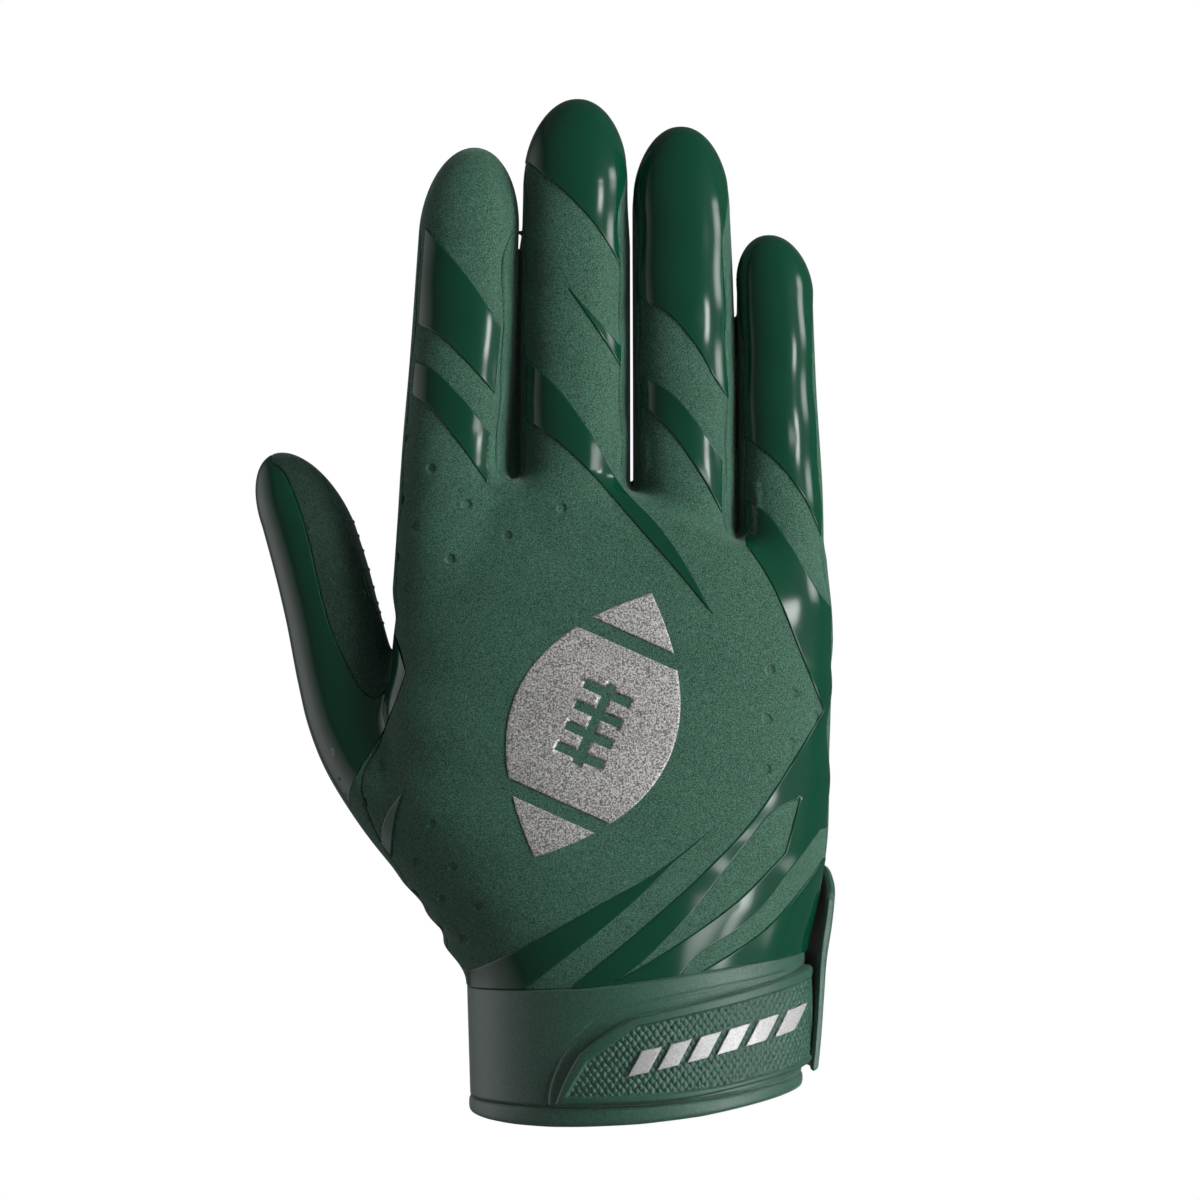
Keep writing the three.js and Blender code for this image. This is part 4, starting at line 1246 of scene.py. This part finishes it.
def strap_height(q):
    """Height of the strap's face over the cuff: a rounded rim, and the scales sunk inside it"""
    s, z = q[:, 0], q[:, 1]
    edge = np.maximum(edge_distance(strap_loop, s, z)[0], 0)
    rim = edge_distance(field_loop, s, z)[0]
    t = np.clip(1 - edge / STRAP_ROUND, 0, 0.985)
    out = GAP + STRAP_THICK + STRAP_RIM - STRAP_ROUND * (1 - np.sqrt(1 - t * t))
    scales = SCALE_HIGH * (scale_height(s, z) - SCALE_LEVEL) * np.clip(rim / 0.5, 0, 1)
    return out - STRAP_RIM * ease((rim + 0.25) / 0.7) + scales


cuff_sheet("closure_strap", strap_loop, *STRAP_MESH, strap_height, -GAP, RUBBER)

for i in range(BAR_COUNT):
    x = BAR_FIRST_X + i * BAR_PITCH
    low = BAR_LOW + BAR_RISE * (x - BAR_FIRST_X)
    loop = filled(on_cuff([
        (x, low), (x + BAR_WIDTH, low + BAR_RISE * BAR_WIDTH), (x + BAR_WIDTH + BAR_LEAN, low + BAR_TALL),
        (x + BAR_LEAN, low + BAR_TALL - BAR_RISE * BAR_WIDTH),
    ]), 0.4)

    def bar_height(q):
        edge, _ = edge_distance(loop, q[:, 0], q[:, 1])
        t = np.clip(1 - np.maximum(edge, 0) / BAR_ROUND, 0, 0.985)
        return GAP + STRAP_THICK + BAR_THICK - BAR_ROUND_DROP * (1 - np.sqrt(1 - t * t))

    cuff_sheet(f"strap_bar_{i + 1}", loop, *BAR_MESH, bar_height, BAR_SUNK - GAP - STRAP_THICK, SILVER_BAR)

# The strap's flap on the little finger's side: a thick soft band that stands off the hand
flap_rows, flap_cols = (int(n / COARSE) for n in FLAP_GRID)
grid_u, grid_w = np.meshgrid(np.linspace(0, 1, flap_cols), np.linspace(0, 1, flap_rows))
top_z = FLAP_TOP[0] + (FLAP_TOP[1] - FLAP_TOP[0]) * ease(grid_u / FLAP_TOP_SHARE)
flap_low = FLAP_ROWS[0][0]
flap_z = flap_low + (top_z - flap_low) * grid_w
half, depth = at(dense(FLAP_ROWS), flap_z)
turn_from = np.radians(np.interp(flap_z, *zip(*FLAP_FRONT)))
turn = turn_from + (math.radians(FLAP_END) - turn_from) * grid_u
outer = np.stack([CUFF_X + half * np.cos(turn), depth * np.sin(turn), flap_z], -1)
normal = np.stack([np.cos(turn) / half, np.sin(turn) / depth, np.zeros_like(turn)], -1)
normal /= np.linalg.norm(normal, axis=-1, keepdims=True)
edge = np.minimum(grid_u * FLAP_WIDE, np.minimum(grid_w * (FLAP_TOP[0] - flap_low), top_z - flap_z))
t = np.clip(1 - edge / (FLAP_THICK * 0.6), 0, 1)
tuck = FLAP_THICK / 2 * (1 - np.sqrt(1 - t * t))
stitch = FLAP_STITCH * np.exp(-(((edge - FLAP_STITCH_IN) / FLAP_STITCH_HALF) ** 2))
sheet_out = outer - normal * (tuck + stitch)[..., None]
sheet_in = outer - normal * (FLAP_THICK - tuck)[..., None]
v = np.concatenate([sheet_out.reshape(-1, 3), sheet_in.reshape(-1, 3)])
index = np.arange(flap_rows * flap_cols).reshape(flap_rows, flap_cols)
a, b, c, d = index[:-1, :-1].ravel(), index[:-1, 1:].ravel(), index[1:, 1:].ravel(), index[1:, :-1].ravel()
f_out = np.concatenate([np.column_stack([a, b, c]), np.column_stack([a, c, d])])
f_in = f_out[:, ::-1] + index.size
border = np.concatenate([index[0, :], index[1:, -1], index[-1, -2::-1], index[-2:0:-1, 0]])
after = np.roll(border, -1)
f_edge = np.concatenate([np.column_stack([after, border, border + index.size]),
                         np.column_stack([after, border + index.size, after + index.size])])
add_smooth("strap_flap", v, np.concatenate([f_out, f_in, f_edge]), CUFF_FINISH)

# Stage, light and camera

def emission(name):
    """A material of light alone, with its node tree and its shader"""
    made = bpy.data.materials.new(name)
    made.use_nodes = True
    tree = made.node_tree
    tree.nodes.clear()
    end = tree.nodes.new("ShaderNodeOutputMaterial")
    glow = tree.nodes.new("ShaderNodeEmission")
    glow.inputs["Strength"].default_value = 1.0
    tree.links.new(glow.outputs["Emission"], end.inputs["Surface"])
    return made, tree, glow


def panel(name, corners, material):
    """A four-sided plane that belongs to the stage"""
    mesh = bpy.data.meshes.new(name)
    mesh.from_pydata(corners, [], [(0, 1, 2, 3)])
    mesh.materials.append(material)
    made = bpy.data.objects.new(name, mesh)
    bpy.context.scene.collection.objects.link(made)
    return made


white = emission("white_paper")[0]
low_front, low_back, high_back = (STAGE_FRONT, FLOOR_Z), (STAGE_BACK, FLOOR_Z), (STAGE_BACK, WALL_TOP)
for name, near, far in (("floor", low_front, low_back), ("back_wall", low_back, high_back)):
    corners = [(-STAGE_HALF, *near), (STAGE_HALF, *near), (STAGE_HALF, *far), (-STAGE_HALF, *far)]
    stage = panel(name, corners, white)
    stage.visible_diffuse = False
    stage.visible_glossy = False
    stage.visible_shadow = False

world = bpy.data.worlds.new("studio")
world.use_nodes = True
world.node_tree.nodes["Background"].inputs["Color"].default_value = (1, 1, 1, 1)
world.node_tree.nodes["Background"].inputs["Strength"].default_value = WORLD_LIGHT
bpy.context.scene.world = world
bpy.context.scene.view_settings.view_transform = "Standard"


def arithmetic(tree, operation, *values):
    """The result of a sum in a node tree"""
    node = tree.nodes.new("ShaderNodeMath")
    node.operation = operation
    for socket, value in zip(node.inputs, values):
        if isinstance(value, (int, float)):
            socket.default_value = value
        else:
            tree.links.new(value, socket)
    return node.outputs[0]


def softbox(name, wide, tall, place, strength, soft, aim, seen):
    """A panel of light that fades towards its edges and that the camera doesn't see"""
    x, y = wide / 2, tall / 2
    material, tree, glow = emission(name)
    own = tree.nodes.new("ShaderNodeTexCoord")
    axes = tree.nodes.new("ShaderNodeSeparateXYZ")
    tree.links.new(own.outputs["Object"], axes.inputs[0])
    fades = []
    for axis, half in (("X", x), ("Y", y)):
        share = arithmetic(tree, "ABSOLUTE", arithmetic(tree, "DIVIDE", axes.outputs[axis], half))
        fades.append(arithmetic(tree, "SUBTRACT", 1.0, arithmetic(tree, "POWER", share, soft)))
    both = arithmetic(tree, "MULTIPLY", *fades)
    tree.links.new(arithmetic(tree, "MULTIPLY", both, strength), glow.inputs["Strength"])
    made = panel(name, [(-x, -y, 0), (x, -y, 0), (x, y, 0), (-x, y, 0)], material)
    made.location = place
    made.rotation_euler = (Vector(aim) - Vector(place)).to_track_quat("-Z", "Y").to_euler()
    made.visible_camera = False
    made.visible_glossy = "glossy" in seen
    made.visible_diffuse = "diffuse" in seen


for name, values in SOFTBOXES.items():
    softbox(name, *values)

camera = bpy.data.cameras.new("camera")
camera.lens = LENS
camera.sensor_width = SENSOR
camera_object = bpy.data.objects.new("camera", camera)
camera_object.location = (CAMERA_X * MM, -CAMERA_AWAY * MM, CAMERA_Z * MM)
camera_object.rotation_euler = (math.radians(90), 0, 0)
bpy.context.scene.collection.objects.link(camera_object)
bpy.context.scene.camera = camera_object

bpy.context.view_layer.update()
